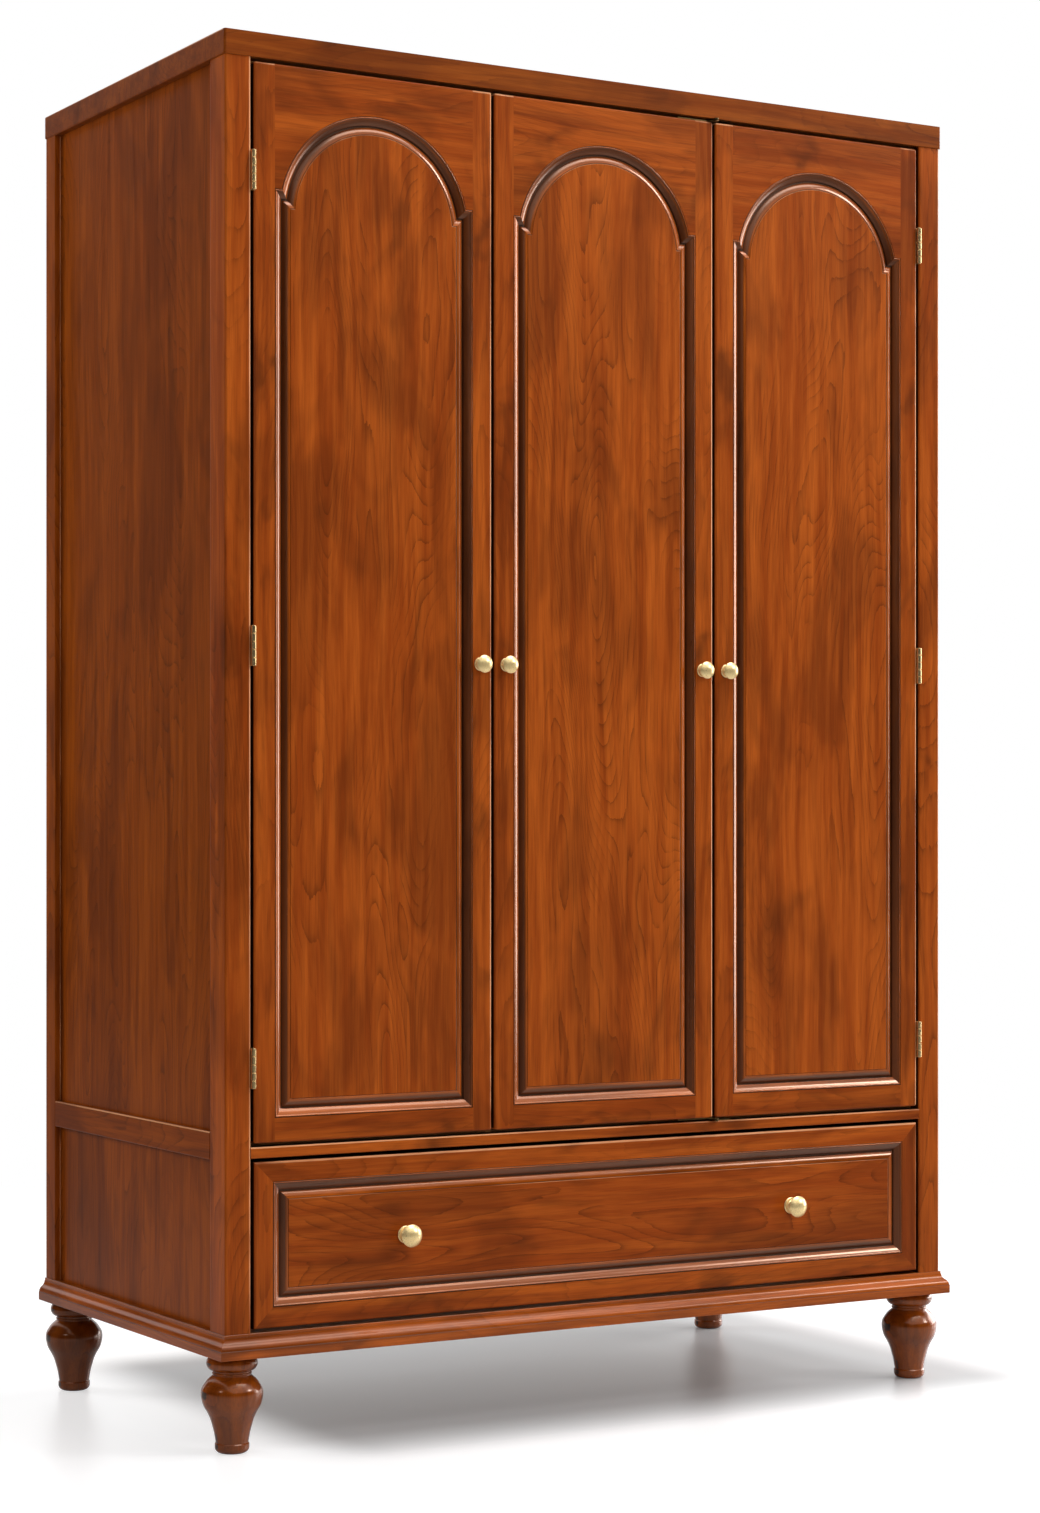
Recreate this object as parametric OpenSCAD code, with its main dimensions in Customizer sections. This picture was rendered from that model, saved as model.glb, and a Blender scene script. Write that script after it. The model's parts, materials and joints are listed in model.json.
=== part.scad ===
// Three-door wardrobe with arched door panels, one wide drawer and turned feet.
// +X runs to the right, -Y is the front, +Z is up. The origin lies on the floor,
// in the middle of the wardrobe's outer box. Lengths are in millimetres.

/* [Carcase] */
// Width across the corner posts
width = 1256; // [1000:1:1600]
// Depth from the face of the front posts to the back
depth = 660; // [560:1:760]
// Height from the floor to the top
height = 2000; // [1800:1:2300]
// Width of a corner post, seen from the front
post_w = 40; // [34:1:60]
// Depth of a front post, seen from the side
front_post_d = 52; // [40:1:70]
// Depth of a back post, seen from the side
back_post_d = 38; // [34:1:60]
// Thickness of the top board
top_t = 35; // [24:1:45]
// How far the top board stands out past the posts
top_out = 2; // [1:0.5:6]
// Thickness of the side panels
side_panel_t = 12; // [8:1:16]
// How far the side panels lie behind the posts' outer faces
side_panel_in = 10; // [5:1:12]
// Height of the rail that divides each side
side_rail_h = 40; // [30:1:60]
// How far the side rail reaches below the waist rail
side_rail_drop = 4; // [1:1:8]
// Depth of the grooves that hold the panels
groove_d = 8; // [5:1:12]
// Room left for a panel to swell at the bottom of its groove
groove_play = 0.6; // [0.3:0.1:0.9]

/* [Back] */
// Thickness of the back frame
back_frame_t = 22; // [18:1:30]
// Thickness of the back panels
back_panel_t = 6; // [4:1:9]
// Height of the back frame's top and bottom rails
back_rail_h = 60; // [40:1:80]
// Width of the back frame's muntins
muntin_w = 50; // [36:1:70]

/* [Base] */
// Height of a turned foot
foot_h = 138; // [90:1:180]
// Largest radius of a foot
foot_r = 44; // [36:0.5:52]
// Radius of the collar on top of a foot
foot_collar_r = 36.5; // [30:0.5:44]
// Radius of a foot's neck
foot_neck_r = 27; // [22:0.5:32]
// Radius of the ring that a foot stands on
foot_ring_r = 24.5; // [20:0.5:30]
// Height of the ring that a foot stands on
foot_ring_h = 14.5; // [10:0.5:20]
// From the side of the posts to a foot's centre
foot_in_x = 29.5; // [28:0.5:40]
// From the face of the posts to a front foot's centre
foot_in_front = 40; // [34:1:50]
// From the back to a back foot's centre
foot_in_back = 44; // [44:1:52]
// Radius of the spigot on top of a foot
spigot_r = 12; // [8:0.5:16]
// Length of the spigot
spigot_h = 26; // [16:1:28]
// Height of the base frame and its moulding
base_h = 34; // [30:1:44]
// Width of the base frame's boards
base_board_w = 84; // [76:1:110]
// How far the base moulding stands out past the posts
base_out = 12; // [8:1:16]
// Height of the flat band along the moulding's bottom
base_band_h = 13; // [10:1:18]
// Height of the small fillet along the moulding's top
base_fillet_h = 4; // [2:0.5:6]
// How far that fillet stands out past the posts
base_fillet_out = 1.6; // [1:0.2:3]

/* [Doors] */
// Open gap round each door and round the drawer
gap = 5; // [4:0.5:6]
// Thickness of the doors and of the drawer front
door_t = 22; // [20:1:30]
// Flat width of a door's stile, outside the moulding
stile_flat = 32; // [28:1:50]
// Flat height of a door's bottom rail, below the moulding
bottom_flat = 35; // [28:1:70]
// Flat height of a door's top rail, above the crown of the arch
top_flat = 58; // [45:1:90]
// Height of the arch from its shoulders to its crown
arch_rise = 118.5; // [100:0.5:125]
// Width of the small step at each shoulder
shoulder_step = 11; // [10:0.5:16]
// From the bottom of a door to its knob's centre
door_knob_up = 683; // [500:1:860]
// From a door's edge to its knob's centre
door_knob_in = 19.5; // [18:0.5:26]

/* [Moulding and panels] */
// Width of the moulding round each panel, with its inner groove
moulding_w = 26; // [24:0.5:30]
// Depth of the moulding strip's back behind the frame's face
moulding_t = 10; // [9.5:0.5:12]
// Radius of the small bead along the moulding's outer edge
edge_bead_r = 1.2; // [0.8:0.1:1.5]
// Width of the moulding's outer round, which falls towards the panel
outer_round_w = 10; // [8:0.2:10.4]
// How far the outer round falls
outer_round_drop = 5.6; // [4:0.2:6]
// Width of the quirk between the two rounds
quirk_w = 1.8; // [1.2:0.2:2.2]
// Width of the moulding's inner round, which rises towards the panel
inner_round_w = 8.4; // [7:0.2:8.6]
// How far the inner round rises
inner_round_rise = 5.2; // [4:0.2:5.6]
// How far the panel's face lies behind the frame's face
field_in = 2.5; // [1.5:0.5:5]
// Thickness of the panel's edge, below the moulding
tongue_t = 6; // [5:0.5:8]
// How far the panel's edge reaches under the moulding
tongue_w = 10; // [9:1:14]
// Room round a strip of moulding
strip_play = 0.1; // [0.05:0.05:0.2]
// Open line at the mitres of a door's moulding
mitre_play = 0.1; // [0.05:0.05:0.2]

/* [Drawer] */
// Height of the drawer front
drawer_h = 235; // [180:1:280]
// Flat width of the drawer front's frame
drawer_flat = 29; // [24:1:40]
// From the middle of the drawer to each knob
drawer_knob_x = 340; // [250:1:400]
// How far the knobs sit above the middle of the drawer front
drawer_knob_up = 0; // [-20:1:20]
// Thickness of the drawer's sides and ends
drawer_side_t = 14; // [12:1:18]
// How far the drawer's sides stop below the top of its front
drawer_side_low = 45.7; // [20:0.1:90]
// Room between the drawer box and the line of the back posts
drawer_back_room = 30; // [20:1:120]
// Thickness of the drawer's bottom
drawer_bottom_t = 6; // [4:1:9]
// How far the drawer's sides reach below its bottom board
drawer_bottom_up = 10; // [8:1:16]
// How far the bottom board goes into its grooves
drawer_groove_d = 6; // [4:1:8]
// Thickness of the ledge that the drawer's sides run on
runner_ledge = 14; // [8:1:18]
// Height of the runner's guide beside the drawer
runner_h = 44; // [34:1:60]
// Running room between the drawer and its runners
run_gap = 0.3; // [0.3:0.1:0.6]

/* [Inside] */
// Height of the waist rail between the doors and the drawer
waist_h = 16; // [14:1:24]
// Depth of the waist rail from front to back
waist_d = 60; // [50:1:90]
// Thickness of the upright divider and the shelves
board_t = 18; // [15:1:22]
// Height of the stops behind the doors
stop_h = 18; // [14:1:24]
// Depth of the stops
stop_d = 18; // [14:1:24]
// Room between a closed door's back and its stop
stop_gap = 0.4; // [0.3:0.1:0.8]
// From the underside of the hat shelf up to the top board
hat_space = 219; // [190:1:400]
// Room left in front of and behind the shelves, between the posts
shelf_room = 30; // [25:1:140]
// Height of the battens that carry the hat shelf and the rail
bearer_h = 84; // [70:1:110]
// Thickness of those battens
bearer_t = 18; // [15:1:24]
// Number of shelves in the right-hand compartment
shelf_count = 4; // [2:1:5]
// Radius of a shelf pin
pin_r = 2.5; // [2:0.25:3]
// How deep a shelf pin sits in its hole
pin_in = 8; // [6:0.5:9]
// How far a shelf pin stands out under its shelf
pin_out = 9; // [7:0.5:12]
// Radius of the hanging rail
rail_r = 12.5; // [10:0.5:15]
// Wall of the hanging rail
rail_wall = 1.5; // [1:0.25:2.5]
// From the hat shelf's underside to the middle of the hanging rail
rail_drop = 50; // [45:1:60]
// How far a rail socket stands out from its batten
socket_out = 14; // [10:1:20]
// Wall of a rail socket
socket_wall = 3.5; // [2.5:0.5:5]

/* [Hinges] */
// Height of a butt hinge
hinge_h = 57; // [45:1:76]
// Number of knuckles on a butt hinge
knuckle_count = 5; // [3:2:7]
// Radius of a hinge's knuckle
knuckle_r = 3.7; // [3.2:0.1:3.8]
// Radius of a hinge's pin
hinge_pin_r = 1.6; // [1.2:0.1:2]
// How far a butt hinge's pin stands in front of the doors' faces
hinge_out = 3.2; // [3.1:0.1:4.5]
// Thickness of a hinge leaf
leaf_t = 1.6; // [1.2:0.1:1.8]
// Depth of a hinge leaf behind the doors' faces
leaf_d = 19; // [15:1:19]
// From the bottom of a door to the middle of its lowest hinge
hinge_low = 106; // [60:1:200]
// From the bottom of a door to the middle of its second hinge
hinge_mid = 700; // [500:1:900]
// From the top of a door to the middle of its highest hinge
hinge_high = 154; // [60:1:250]
// How far the middle door's pivots stand in front of the doors' faces
pivot_out = 5; // [4:0.5:7]
// Radius of the middle door's pivot pins
pivot_pin_r = 2; // [1.5:0.25:2.5]
// Radius of the ears round the pivot pins
ear_r = 4.2; // [4:0.1:5]
// Thickness of the pivot plates
pivot_plate_t = 1.8; // [1.5:0.1:2]
// Length of the pivot plates along the door
pivot_plate_l = 62; // [40:1:90]
// Running room round each hinge pin
pin_play = 0.05; // [0.03:0.01:0.08]

/* [Knobs] */
// Radius of a door knob
door_knob_r = 13; // [10:0.5:13]
// How far a door knob stands out
door_knob_out = 19; // [16:0.5:20]
// Radius of a drawer knob
drawer_knob_r = 16.5; // [12:0.5:20]
// How far a drawer knob stands out
drawer_knob_out = 25; // [20:0.5:32]
// Radius of a knob's fixing stud
stud_r = 2; // [1.5:0.25:3]
// How far a knob's stud goes into the wood
stud_l = 14; // [8:1:16]

/* [Hidden] */
$fn = 64;

// Finishes
cherry = "#8c4720";
cherry_dark = "#6e3518";
cherry_end = "#5d2c14";
inner_wood = "#a8703f";
brass = "#d9b768";
old_brass = "#8d8058";
steel = "#b9bcc0";

// How far cuts run past the faces that they open
eps = 0.5;

// Heights, from the floor up
base_top = foot_h + base_h;
drawer_z = base_top + gap;
drawer_top = drawer_z + drawer_h;
waist_z = drawer_top + gap;
waist_top = waist_z + waist_h;
door_z = waist_top + gap;
ceiling = height - top_t;
door_top = ceiling - gap;
side_rail_z = waist_z - side_rail_drop;
side_rail_top = side_rail_z + side_rail_h;

// Places across the front, from the middle
half_w = width / 2;
post_x = half_w - post_w;
panel_x = half_w - side_panel_in - side_panel_t;
door_w = (2 * post_x - 4 * gap) / 3;
door_pitch = door_w + gap;
left_x = -door_pitch;
right_x = door_pitch;
pivot_x = door_pitch / 2;
divider_x = pivot_x;

// Places from front to back, from the posts' faces
back_frame_y = depth - back_frame_t;
back_panel_y = depth - back_frame_t / 2 - back_panel_t / 2;
stop_y = door_t + stop_gap;
front_reach = max(drawer_knob_out, base_out, door_knob_out);
face_y = (front_reach - depth) / 2;
inner_y = front_post_d;
inner_back_y = depth - back_post_d;
shelf_d = inner_back_y - inner_y - shelf_room;
shelf_y = inner_y + shelf_room / 2;
hat_shelf_z = ceiling - hat_space;
rail_y = (inner_y + inner_back_y) / 2;

// The arch: the opening's outline at the moulding's outer edge
open_half = door_w / 2 - stile_flat;
open_z = door_z + bottom_flat;
crown_z = door_top - top_flat;
shoulder_z = crown_z - arch_rise;
door_knob_z = door_z + door_knob_up;
chord_half = open_half - shoulder_step;
arch_r = (pow(chord_half, 2) + pow(arch_rise, 2)) / (2 * arch_rise);
arch_z = crown_z - arch_r;

// Layers of a door's frame, each with its depths and how far it reaches inward
tongue_y = moulding_t;
panel_back_y = tongue_y + tongue_t;
frame_layers = [
    [0, tongue_y, 0],
    [tongue_y, panel_back_y, moulding_w - tongue_w],
    [panel_back_y, door_t, moulding_w],
];

// The moulding's section, from its outer edge inward: a bead, a round that falls
// from the bead's inner side, a quirk, and a round that rises to its inner edge
notch = 0.5;
outer_round_x = notch + 1.6 * edge_bead_r;
outer_round_y = moulding_t - 0.75 * edge_bead_r;
quirk_x = outer_round_x + outer_round_w;
inner_round_x = quirk_x + quirk_w;
strip_w = inner_round_x + inner_round_w;
quirk_y = 1.8;
quirk_step = 0.4;
inner_round_y = quirk_y + quirk_step + inner_round_rise;

// The drawer box
drawer_front_w = 2 * post_x - 2 * gap;
runner_in = 10;
drawer_side_x = post_x - runner_in;
box_z = base_top + runner_ledge + run_gap;
box_top = drawer_top - drawer_side_low;
bottom_board_z = box_z + drawer_bottom_up;
box_end_y = inner_back_y - drawer_back_room;
drawer_knob_z = drawer_z + drawer_h / 2 + drawer_knob_up;

// The hinges
knuckle_gap = 0.3;
leaf_start = 1;
hinge_x = post_x - gap / 2;
hinge_z = [door_z + hinge_low, door_z + hinge_mid, door_top - hinge_high];
pivot_arm_t = pivot_plate_t - 0.5;
pivot_depth = door_t - 4;

// The bays and the shelves
bay_left_x = divider_x - board_t / 2;
bay_right_x = divider_x + board_t / 2;
seat = 0.2;
shelf_pitch = (ceiling - waist_top) / (shelf_count + 1);

// Points on an arc in the plane, from angle a to angle b
function arc(c, r, a, b, n) =
    [for (i = [0:n]) let (t = a + (b - a) * i / n) [c[0] + r * cos(t), c[1] + r * sin(t)]];

// One coordinate of a smooth curve between the second and third of four points
function spline(p, t) = 0.5 * (2 * p[1] + (p[2] - p[0]) * t
    + (2 * p[0] - 5 * p[1] + 4 * p[2] - p[3]) * t * t
    + (3 * p[1] - p[0] - 3 * p[2] + p[3]) * t * t * t);

// A smooth run of points through a list of points
function smooth(pts, n) = let (last = len(pts) - 1)
    [for (i = [0:last - 1], j = [0:n - 1])
        let (q = [pts[max(i - 1, 0)], pts[i], pts[i + 1], pts[min(i + 2, last)]])
        spline(q, j / n)];

// Shared helpers

// Puts a piece drawn from the posts' faces into the wardrobe's own frame
module placed(paint) {
    color(paint) translate([0, face_y, 0]) children();
}

// A box given by its corners
module block(lo, hi) {
    translate(lo) cube(hi - lo);
}

// A box and its mirror image on the other side of the middle
module both_sides() {
    children();
    mirror([1, 0, 0]) children();
}

// Thickens an outline in the front's plane, between two depths
module slab(y0, y1) {
    translate([0, y1, 0]) rotate([90, 0, 0]) linear_extrude(y1 - y0) children();
}

// Thickens a plan outline between two heights
module plan(z0, z1) {
    translate([0, 0, z0]) linear_extrude(z1 - z0) children();
}

// A flat rectangle given by its corners
module patch(lo, hi) {
    translate(lo) square(hi - lo);
}

// Corner posts

// One post: its front edge's depth, its own depth, and the grooves in it
module post(side, y0, d, to_back) {
    groove_x0 = panel_x;
    groove_y = to_back ? y0 - eps : y0 + d - groove_d;
    plan(base_top, ceiling) scale([side, 1]) difference() {
        patch([post_x, y0], [half_w, y0 + d]);
        patch([groove_x0, groove_y], [groove_x0 + side_panel_t, groove_y + groove_d + eps]);
        if (to_back) {
            patch([post_x - eps, back_panel_y], [post_x + groove_d, back_panel_y + back_panel_t]);
        }
    }
}

module post_front_left() { placed(cherry) post(-1, 0, front_post_d, false); }
module post_front_right() { placed(cherry) post(1, 0, front_post_d, false); }
module post_back_left() { placed(cherry) post(-1, inner_back_y, back_post_d, true); }
module post_back_right() { placed(cherry) post(1, inner_back_y, back_post_d, true); }

// Top board, with its upright corners slightly rounded
module top_board() {
    r = 4;
    x = half_w + top_out;
    placed(cherry) plan(ceiling, height) {
        patch([-x, r - top_out], [x, depth]);
        patch([r - x, -top_out], [x - r, depth]);
        for (side = [-1, 1]) {
            translate([side * (x - r), r - top_out]) circle(r);
        }
    }
}

// Sides: an upper and a lower panel with a rail between them

module side_panels(side) {
    y0 = inner_y - groove_d + groove_play;
    y1 = inner_back_y + groove_d - groove_play;
    x0 = panel_x;
    scale([side, 1, 1]) difference() {
        union() {
            block([x0, y0, base_top], [x0 + side_panel_t, y1, side_rail_z + groove_d - groove_play]);
            block([x0, y0, side_rail_top - groove_d + groove_play], [x0 + side_panel_t, y1, ceiling]);
        }
        if (side > 0) {
            shelf_pin_places() translate([panel_x - eps, 0, 0]) rotate([0, 90, 0])
                cylinder(r = pin_r + pin_play, h = pin_in + eps);
        }
    }
}

module side_rail(side) {
    x0 = panel_x;
    scale([side, 1, 1]) difference() {
        block([post_x, inner_y, side_rail_z], [half_w, inner_back_y, side_rail_top]);
        block([x0, inner_y - eps, side_rail_z - eps],
            [x0 + side_panel_t, inner_back_y + eps, side_rail_z + groove_d]);
        block([x0, inner_y - eps, side_rail_top - groove_d],
            [x0 + side_panel_t, inner_back_y + eps, side_rail_top + eps]);
    }
}

module side_panels_left() { placed(cherry_dark) side_panels(-1); }
module side_panels_right() { placed(cherry_dark) side_panels(1); }
module side_rail_left() { placed(cherry_dark) side_rail(-1); }
module side_rail_right() { placed(cherry_dark) side_rail(1); }

// Back: a grooved frame with two rows of three plywood panels

// The heights of the back's three rails
back_rails = [
    [base_top, base_top + back_rail_h],
    [side_rail_z, side_rail_top],
    [ceiling - back_rail_h, ceiling],
];

// The groove for a panel edge that runs across, at a given height and side
module back_groove(z, up) {
    block([-half_w, back_panel_y, up ? z - groove_d : z - eps],
        [half_w, back_panel_y + back_panel_t, up ? z + eps : z + groove_d]);
}

module back_frame() {
    placed(inner_wood) {
        difference() {
            for (r = back_rails) {
                block([-post_x, back_frame_y, r[0]], [post_x, depth, r[1]]);
            }
            back_groove(back_rails[0][1], true);
            back_groove(back_rails[1][0], false);
            back_groove(back_rails[1][1], true);
            back_groove(back_rails[2][0], false);
        }
        for (row = [0, 1], side = [-1, 1]) {
            muntin(side * pivot_x, back_rails[row][1], back_rails[row + 1][0]);
        }
    }
}

module muntin(x, z0, z1) {
    plan(z0, z1) difference() {
        patch([x - muntin_w / 2, back_frame_y], [x + muntin_w / 2, depth]);
        for (side = [-1, 1]) {
            translate([x + side * muntin_w / 2, back_panel_y + back_panel_t / 2])
                square([2 * groove_d, back_panel_t], center = true);
        }
    }
}

module back_panels() {
    edges = [-post_x, -pivot_x - muntin_w / 2, -pivot_x + muntin_w / 2,
        pivot_x - muntin_w / 2, pivot_x + muntin_w / 2, post_x];
    into = groove_d - groove_play;
    placed(inner_wood) for (row = [0, 1], bay = [0:2]) {
        block([edges[2 * bay] - into, back_panel_y, back_rails[row][1] - into],
            [edges[2 * bay + 1] + into, back_panel_y + back_panel_t, back_rails[row + 1][0] + into]);
    }
}

// Base: four boards laid flat, the moulding planted round them, and four turned feet

module foot_places() {
    for (side = [-1, 1], y = [foot_in_front, depth - foot_in_back]) {
        translate([side * (half_w - foot_in_x), y, 0]) children();
    }
}

module base_frame() {
    placed(cherry_dark) difference() {
        union() {
            block([-half_w, 0, foot_h], [half_w, base_board_w, base_top]);
            block([-half_w, depth - base_board_w, foot_h], [half_w, depth, base_top]);
            both_sides() block([half_w - base_board_w, base_board_w, foot_h],
                [half_w, depth - base_board_w, base_top]);
        }
        foot_places() translate([0, 0, foot_h - eps])
            cylinder(r = spigot_r + strip_play, h = spigot_h + 1 + eps);
    }
}

// Cross-section of the base moulding, outward from the posts and up from its bottom:
// a flat band, a small step, a wave made of two equal arcs, another step and a fillet
module base_profile() {
    step = 0.7;
    blend = 0.1;
    wave_x = base_fillet_out + step;
    wave_h = base_h - base_band_h - base_fillet_h;
    wave_w = base_out - wave_x - step;
    wave_r = (pow(wave_h / 2, 2) + pow(wave_w / 2, 2)) / wave_w;
    wave_top = base_band_h + wave_h;
    wave_mid = base_band_h + wave_h / 2;
    patch([0, 0], [base_out, base_band_h]);
    patch([0, wave_top], [base_fillet_out, base_h]);
    intersection() {
        translate([wave_x + wave_w - wave_r, base_band_h]) circle(wave_r);
        patch([0, base_band_h], [base_out, wave_mid + 2]);
    }
    difference() {
        patch([0, wave_mid], [wave_x + wave_w / 2 + eps, wave_top]);
        translate([wave_x + wave_r - blend, wave_top]) circle(wave_r);
    }
}

// The moulding's plan, cut along the mitres at the two front corners
module base_run_front() {
    far = half_w + base_out;
    intersection() {
        translate([far, 0, foot_h]) rotate([90, 0, -90]) linear_extrude(2 * far) base_profile();
        plan(foot_h - eps, base_top + eps)
            polygon([[-half_w, 0], [half_w, 0], [far, -base_out], [-far, -base_out]]);
    }
}

module base_run_side() {
    far = half_w + base_out;
    intersection() {
        translate([half_w, depth, foot_h]) rotate([90, 0, 0])
            linear_extrude(depth + base_out) base_profile();
        plan(foot_h - eps, base_top + eps)
            polygon([[half_w, 0], [far, -base_out], [far, depth], [half_w, depth]]);
    }
}

module base_moulding() {
    placed(cherry) {
        base_run_front();
        both_sides() base_run_side();
    }
}

// Turned foot: a rounded ring, a tapered vase with a full shoulder, a beaded neck
// and a fat collar. The vase's radii follow the largest one.
module foot() {
    neck_z = 0.79 * foot_h;
    bead_z = 0.815 * foot_h;
    collar_z = 0.84 * foot_h;
    vase_z = foot_ring_h + 1;
    vase_h = neck_z - vase_z;
    collar_bend = (foot_h - collar_z) / 2;
    ring = concat([[0, 0], [foot_ring_r - 6.5, 0]],
        arc([foot_ring_r - 8, 8], 8, -70, 0, 6),
        [[foot_ring_r, foot_ring_h - 1.4], [foot_ring_r - 1.2, foot_ring_h]]);
    vase = smooth([
        [0.53 * foot_r, vase_z],
        [0.58 * foot_r, vase_z + 0.14 * vase_h],
        [0.64 * foot_r, vase_z + 0.25 * vase_h],
        [0.71 * foot_r, vase_z + 0.36 * vase_h],
        [0.80 * foot_r, vase_z + 0.45 * vase_h],
        [0.90 * foot_r, vase_z + 0.53 * vase_h],
        [0.96 * foot_r, vase_z + 0.605 * vase_h],
        [foot_r, vase_z + 0.71 * vase_h],
        [0.98 * foot_r, vase_z + 0.80 * vase_h],
        [0.90 * foot_r, vase_z + 0.87 * vase_h],
        [0.79 * foot_r, vase_z + 0.94 * vase_h],
        [foot_neck_r + 1.2, vase_z + vase_h],
    ], 3);
    neck = concat([[foot_neck_r, neck_z + 1]],
        arc([foot_neck_r - 0.6, bead_z], 1.8, -70, 70, 6),
        [[foot_neck_r, bead_z + 2.2], [foot_neck_r, collar_z]]);
    collar = concat(arc([foot_collar_r - collar_bend, collar_z + collar_bend],
        collar_bend, -80, 50, 10), [[foot_collar_r - 4, foot_h], [0, foot_h]]);
    rotate_extrude() polygon(concat(ring, vase, neck, collar));
    translate([0, 0, foot_h - eps]) cylinder(r = spigot_r, h = spigot_h + eps);
}

module foot_at(side, y) {
    placed(cherry_end) translate([side * (half_w - foot_in_x), y, 0]) foot();
}

module foot_front_left() { foot_at(-1, foot_in_front); }
module foot_front_right() { foot_at(1, foot_in_front); }
module foot_back_left() { foot_at(-1, depth - foot_in_back); }
module foot_back_right() { foot_at(1, depth - foot_in_back); }

// Inside: waist rail, floor, divider and stops

module waist_rail() {
    placed(cherry) block([-post_x, 0, waist_z], [post_x, waist_d, waist_top]);
}

module floor_board() {
    placed(inner_wood) block([-post_x, waist_d, waist_z], [post_x, back_frame_y, waist_top]);
}

module divider() {
    placed(inner_wood) difference() {
        block([bay_left_x, stop_y, waist_top], [bay_right_x, back_frame_y, ceiling]);
        shelf_pin_places() translate([bay_right_x - pin_in, 0, 0]) rotate([0, 90, 0])
            cylinder(r = pin_r + pin_play, h = pin_in + eps);
    }
}

module door_stops() {
    placed(inner_wood) for (z = [waist_top, ceiling - stop_h]) {
        block([-post_x, stop_y, z], [bay_left_x, stop_y + stop_d, z + stop_h]);
        block([bay_right_x, stop_y, z], [post_x, stop_y + stop_d, z + stop_h]);
    }
}

// Magnetic catches under the top stops, one behind each door's opening edge
module door_catches() {
    size = [46, 15, 13];
    inset = 70;
    edges = [left_x + door_w / 2 - inset, -door_w / 2 + inset, right_x - door_w / 2 + inset];
    placed("#e9e4d8") for (x = edges) {
        translate([x - size[0] / 2, stop_y, ceiling - stop_h - size[2]]) cube(size);
    }
}

// Left bay: battens, hat shelf and hanging rail

module shelf_bearers() {
    z0 = hat_shelf_z - bearer_h;
    placed(inner_wood) {
        block([-panel_x, inner_y, z0], [bearer_t - panel_x, inner_back_y, hat_shelf_z]);
        block([bay_left_x - bearer_t, inner_y, z0], [bay_left_x, inner_back_y, hat_shelf_z]);
    }
}

module hat_shelf() {
    placed(inner_wood) block([seat - panel_x, inner_y + seat, hat_shelf_z],
        [bay_left_x - seat, inner_y + shelf_d, hat_shelf_z + board_t]);
}

// The ends of the hanging rail, at the faces of the two battens
rail_z = hat_shelf_z - rail_drop;
rail_left = bearer_t - panel_x;
rail_right = bay_left_x - bearer_t;

module hanging_rail() {
    placed(steel) translate([rail_left + seat, rail_y, rail_z]) rotate([0, 90, 0])
        difference() {
            cylinder(r = rail_r, h = rail_right - rail_left - 2 * seat);
            translate([0, 0, -eps])
                cylinder(r = rail_r - rail_wall, h = rail_right - rail_left + 2 * eps);
        }
}

module rail_socket() {
    rotate([0, 90, 0]) difference() {
        union() {
            cylinder(r = rail_r + strip_play + socket_wall, h = socket_out);
            cylinder(r = rail_r + strip_play + 2.5 * socket_wall, h = socket_wall);
        }
        translate([0, 0, -eps]) cylinder(r = rail_r + strip_play, h = socket_out + 2 * eps);
    }
}

module rail_sockets() {
    placed(steel) {
        translate([rail_left, rail_y, rail_z]) rail_socket();
        translate([rail_right, rail_y, rail_z]) mirror([1, 0, 0]) rail_socket();
    }
}

// Right bay: shelves on pins

module shelf_pin_places() {
    for (i = [1:shelf_count], y = [shelf_y + 40, shelf_y + shelf_d - 40]) {
        translate([0, y, waist_top + i * shelf_pitch - pin_r - seat]) children();
    }
}

module bay_shelves() {
    placed(inner_wood) for (i = [1:shelf_count]) {
        z = waist_top + i * shelf_pitch;
        block([bay_right_x + 2 * seat, shelf_y, z], [panel_x - 2 * seat, shelf_y + shelf_d, z + board_t]);
    }
}

module shelf_pins() {
    placed(brass) shelf_pin_places() for (x = [bay_right_x - pin_in, panel_x - pin_out]) {
        translate([x, 0, 0]) rotate([0, 90, 0]) cylinder(r = pin_r, h = pin_in + pin_out);
    }
}

// Drawer runners: a ledge, a guide beside the drawer and a stop behind it
module drawer_runners() {
    y0 = inner_y;
    y1 = inner_back_y;
    guide_x = drawer_side_x + run_gap;
    ledge_x = drawer_side_x - drawer_side_t;
    stop_at = box_end_y + run_gap;
    placed(inner_wood) both_sides() {
        block([guide_x, y0, base_top], [panel_x, y1, base_top + runner_h]);
        block([ledge_x, y0, base_top], [guide_x + eps, y1, base_top + runner_ledge]);
        block([ledge_x, stop_at, base_top], [guide_x + eps, y1, base_top + runner_h]);
    }
}

// Panel frames: the outlines that doors and the drawer front share

// The arched opening, drawn inward by a given offset
module arch_outline(off) {
    patch([off - open_half, open_z + off], [open_half - off, shoulder_z - off]);
    intersection() {
        translate([0, arch_z]) circle(arch_r - off);
        patch([-arch_r, shoulder_z - off - 1], [arch_r, crown_z + 1]);
    }
}

// The area under a round that reaches width w and height h, level at x = 0
module round_side(w, h, top) {
    r = (pow(w, 2) + pow(h, 2)) / (2 * h);
    intersection() {
        translate([0, top - r]) circle(r);
        patch([0, 0], [w, top]);
    }
}

// Cross-section of the moulding, inward from the frame and forward from its back
module strip_profile() {
    patch([strip_play, 0], [strip_w, quirk_y]);
    translate([notch + edge_bead_r, moulding_t - edge_bead_r]) circle(edge_bead_r);
    patch([notch, 0], [outer_round_x, moulding_t - edge_bead_r]);
    translate([outer_round_x, 0])
        round_side(outer_round_w, outer_round_drop, outer_round_y);
    translate([strip_w, 0]) mirror([1, 0])
        round_side(inner_round_w, inner_round_rise, inner_round_y);
}

// Straight strips with their backs at the moulding's depth
module strip_across(x0, x1, z) {
    translate([x0, moulding_t, z]) rotate([0, -90, 180]) linear_extrude(x1 - x0) strip_profile();
}

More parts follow.
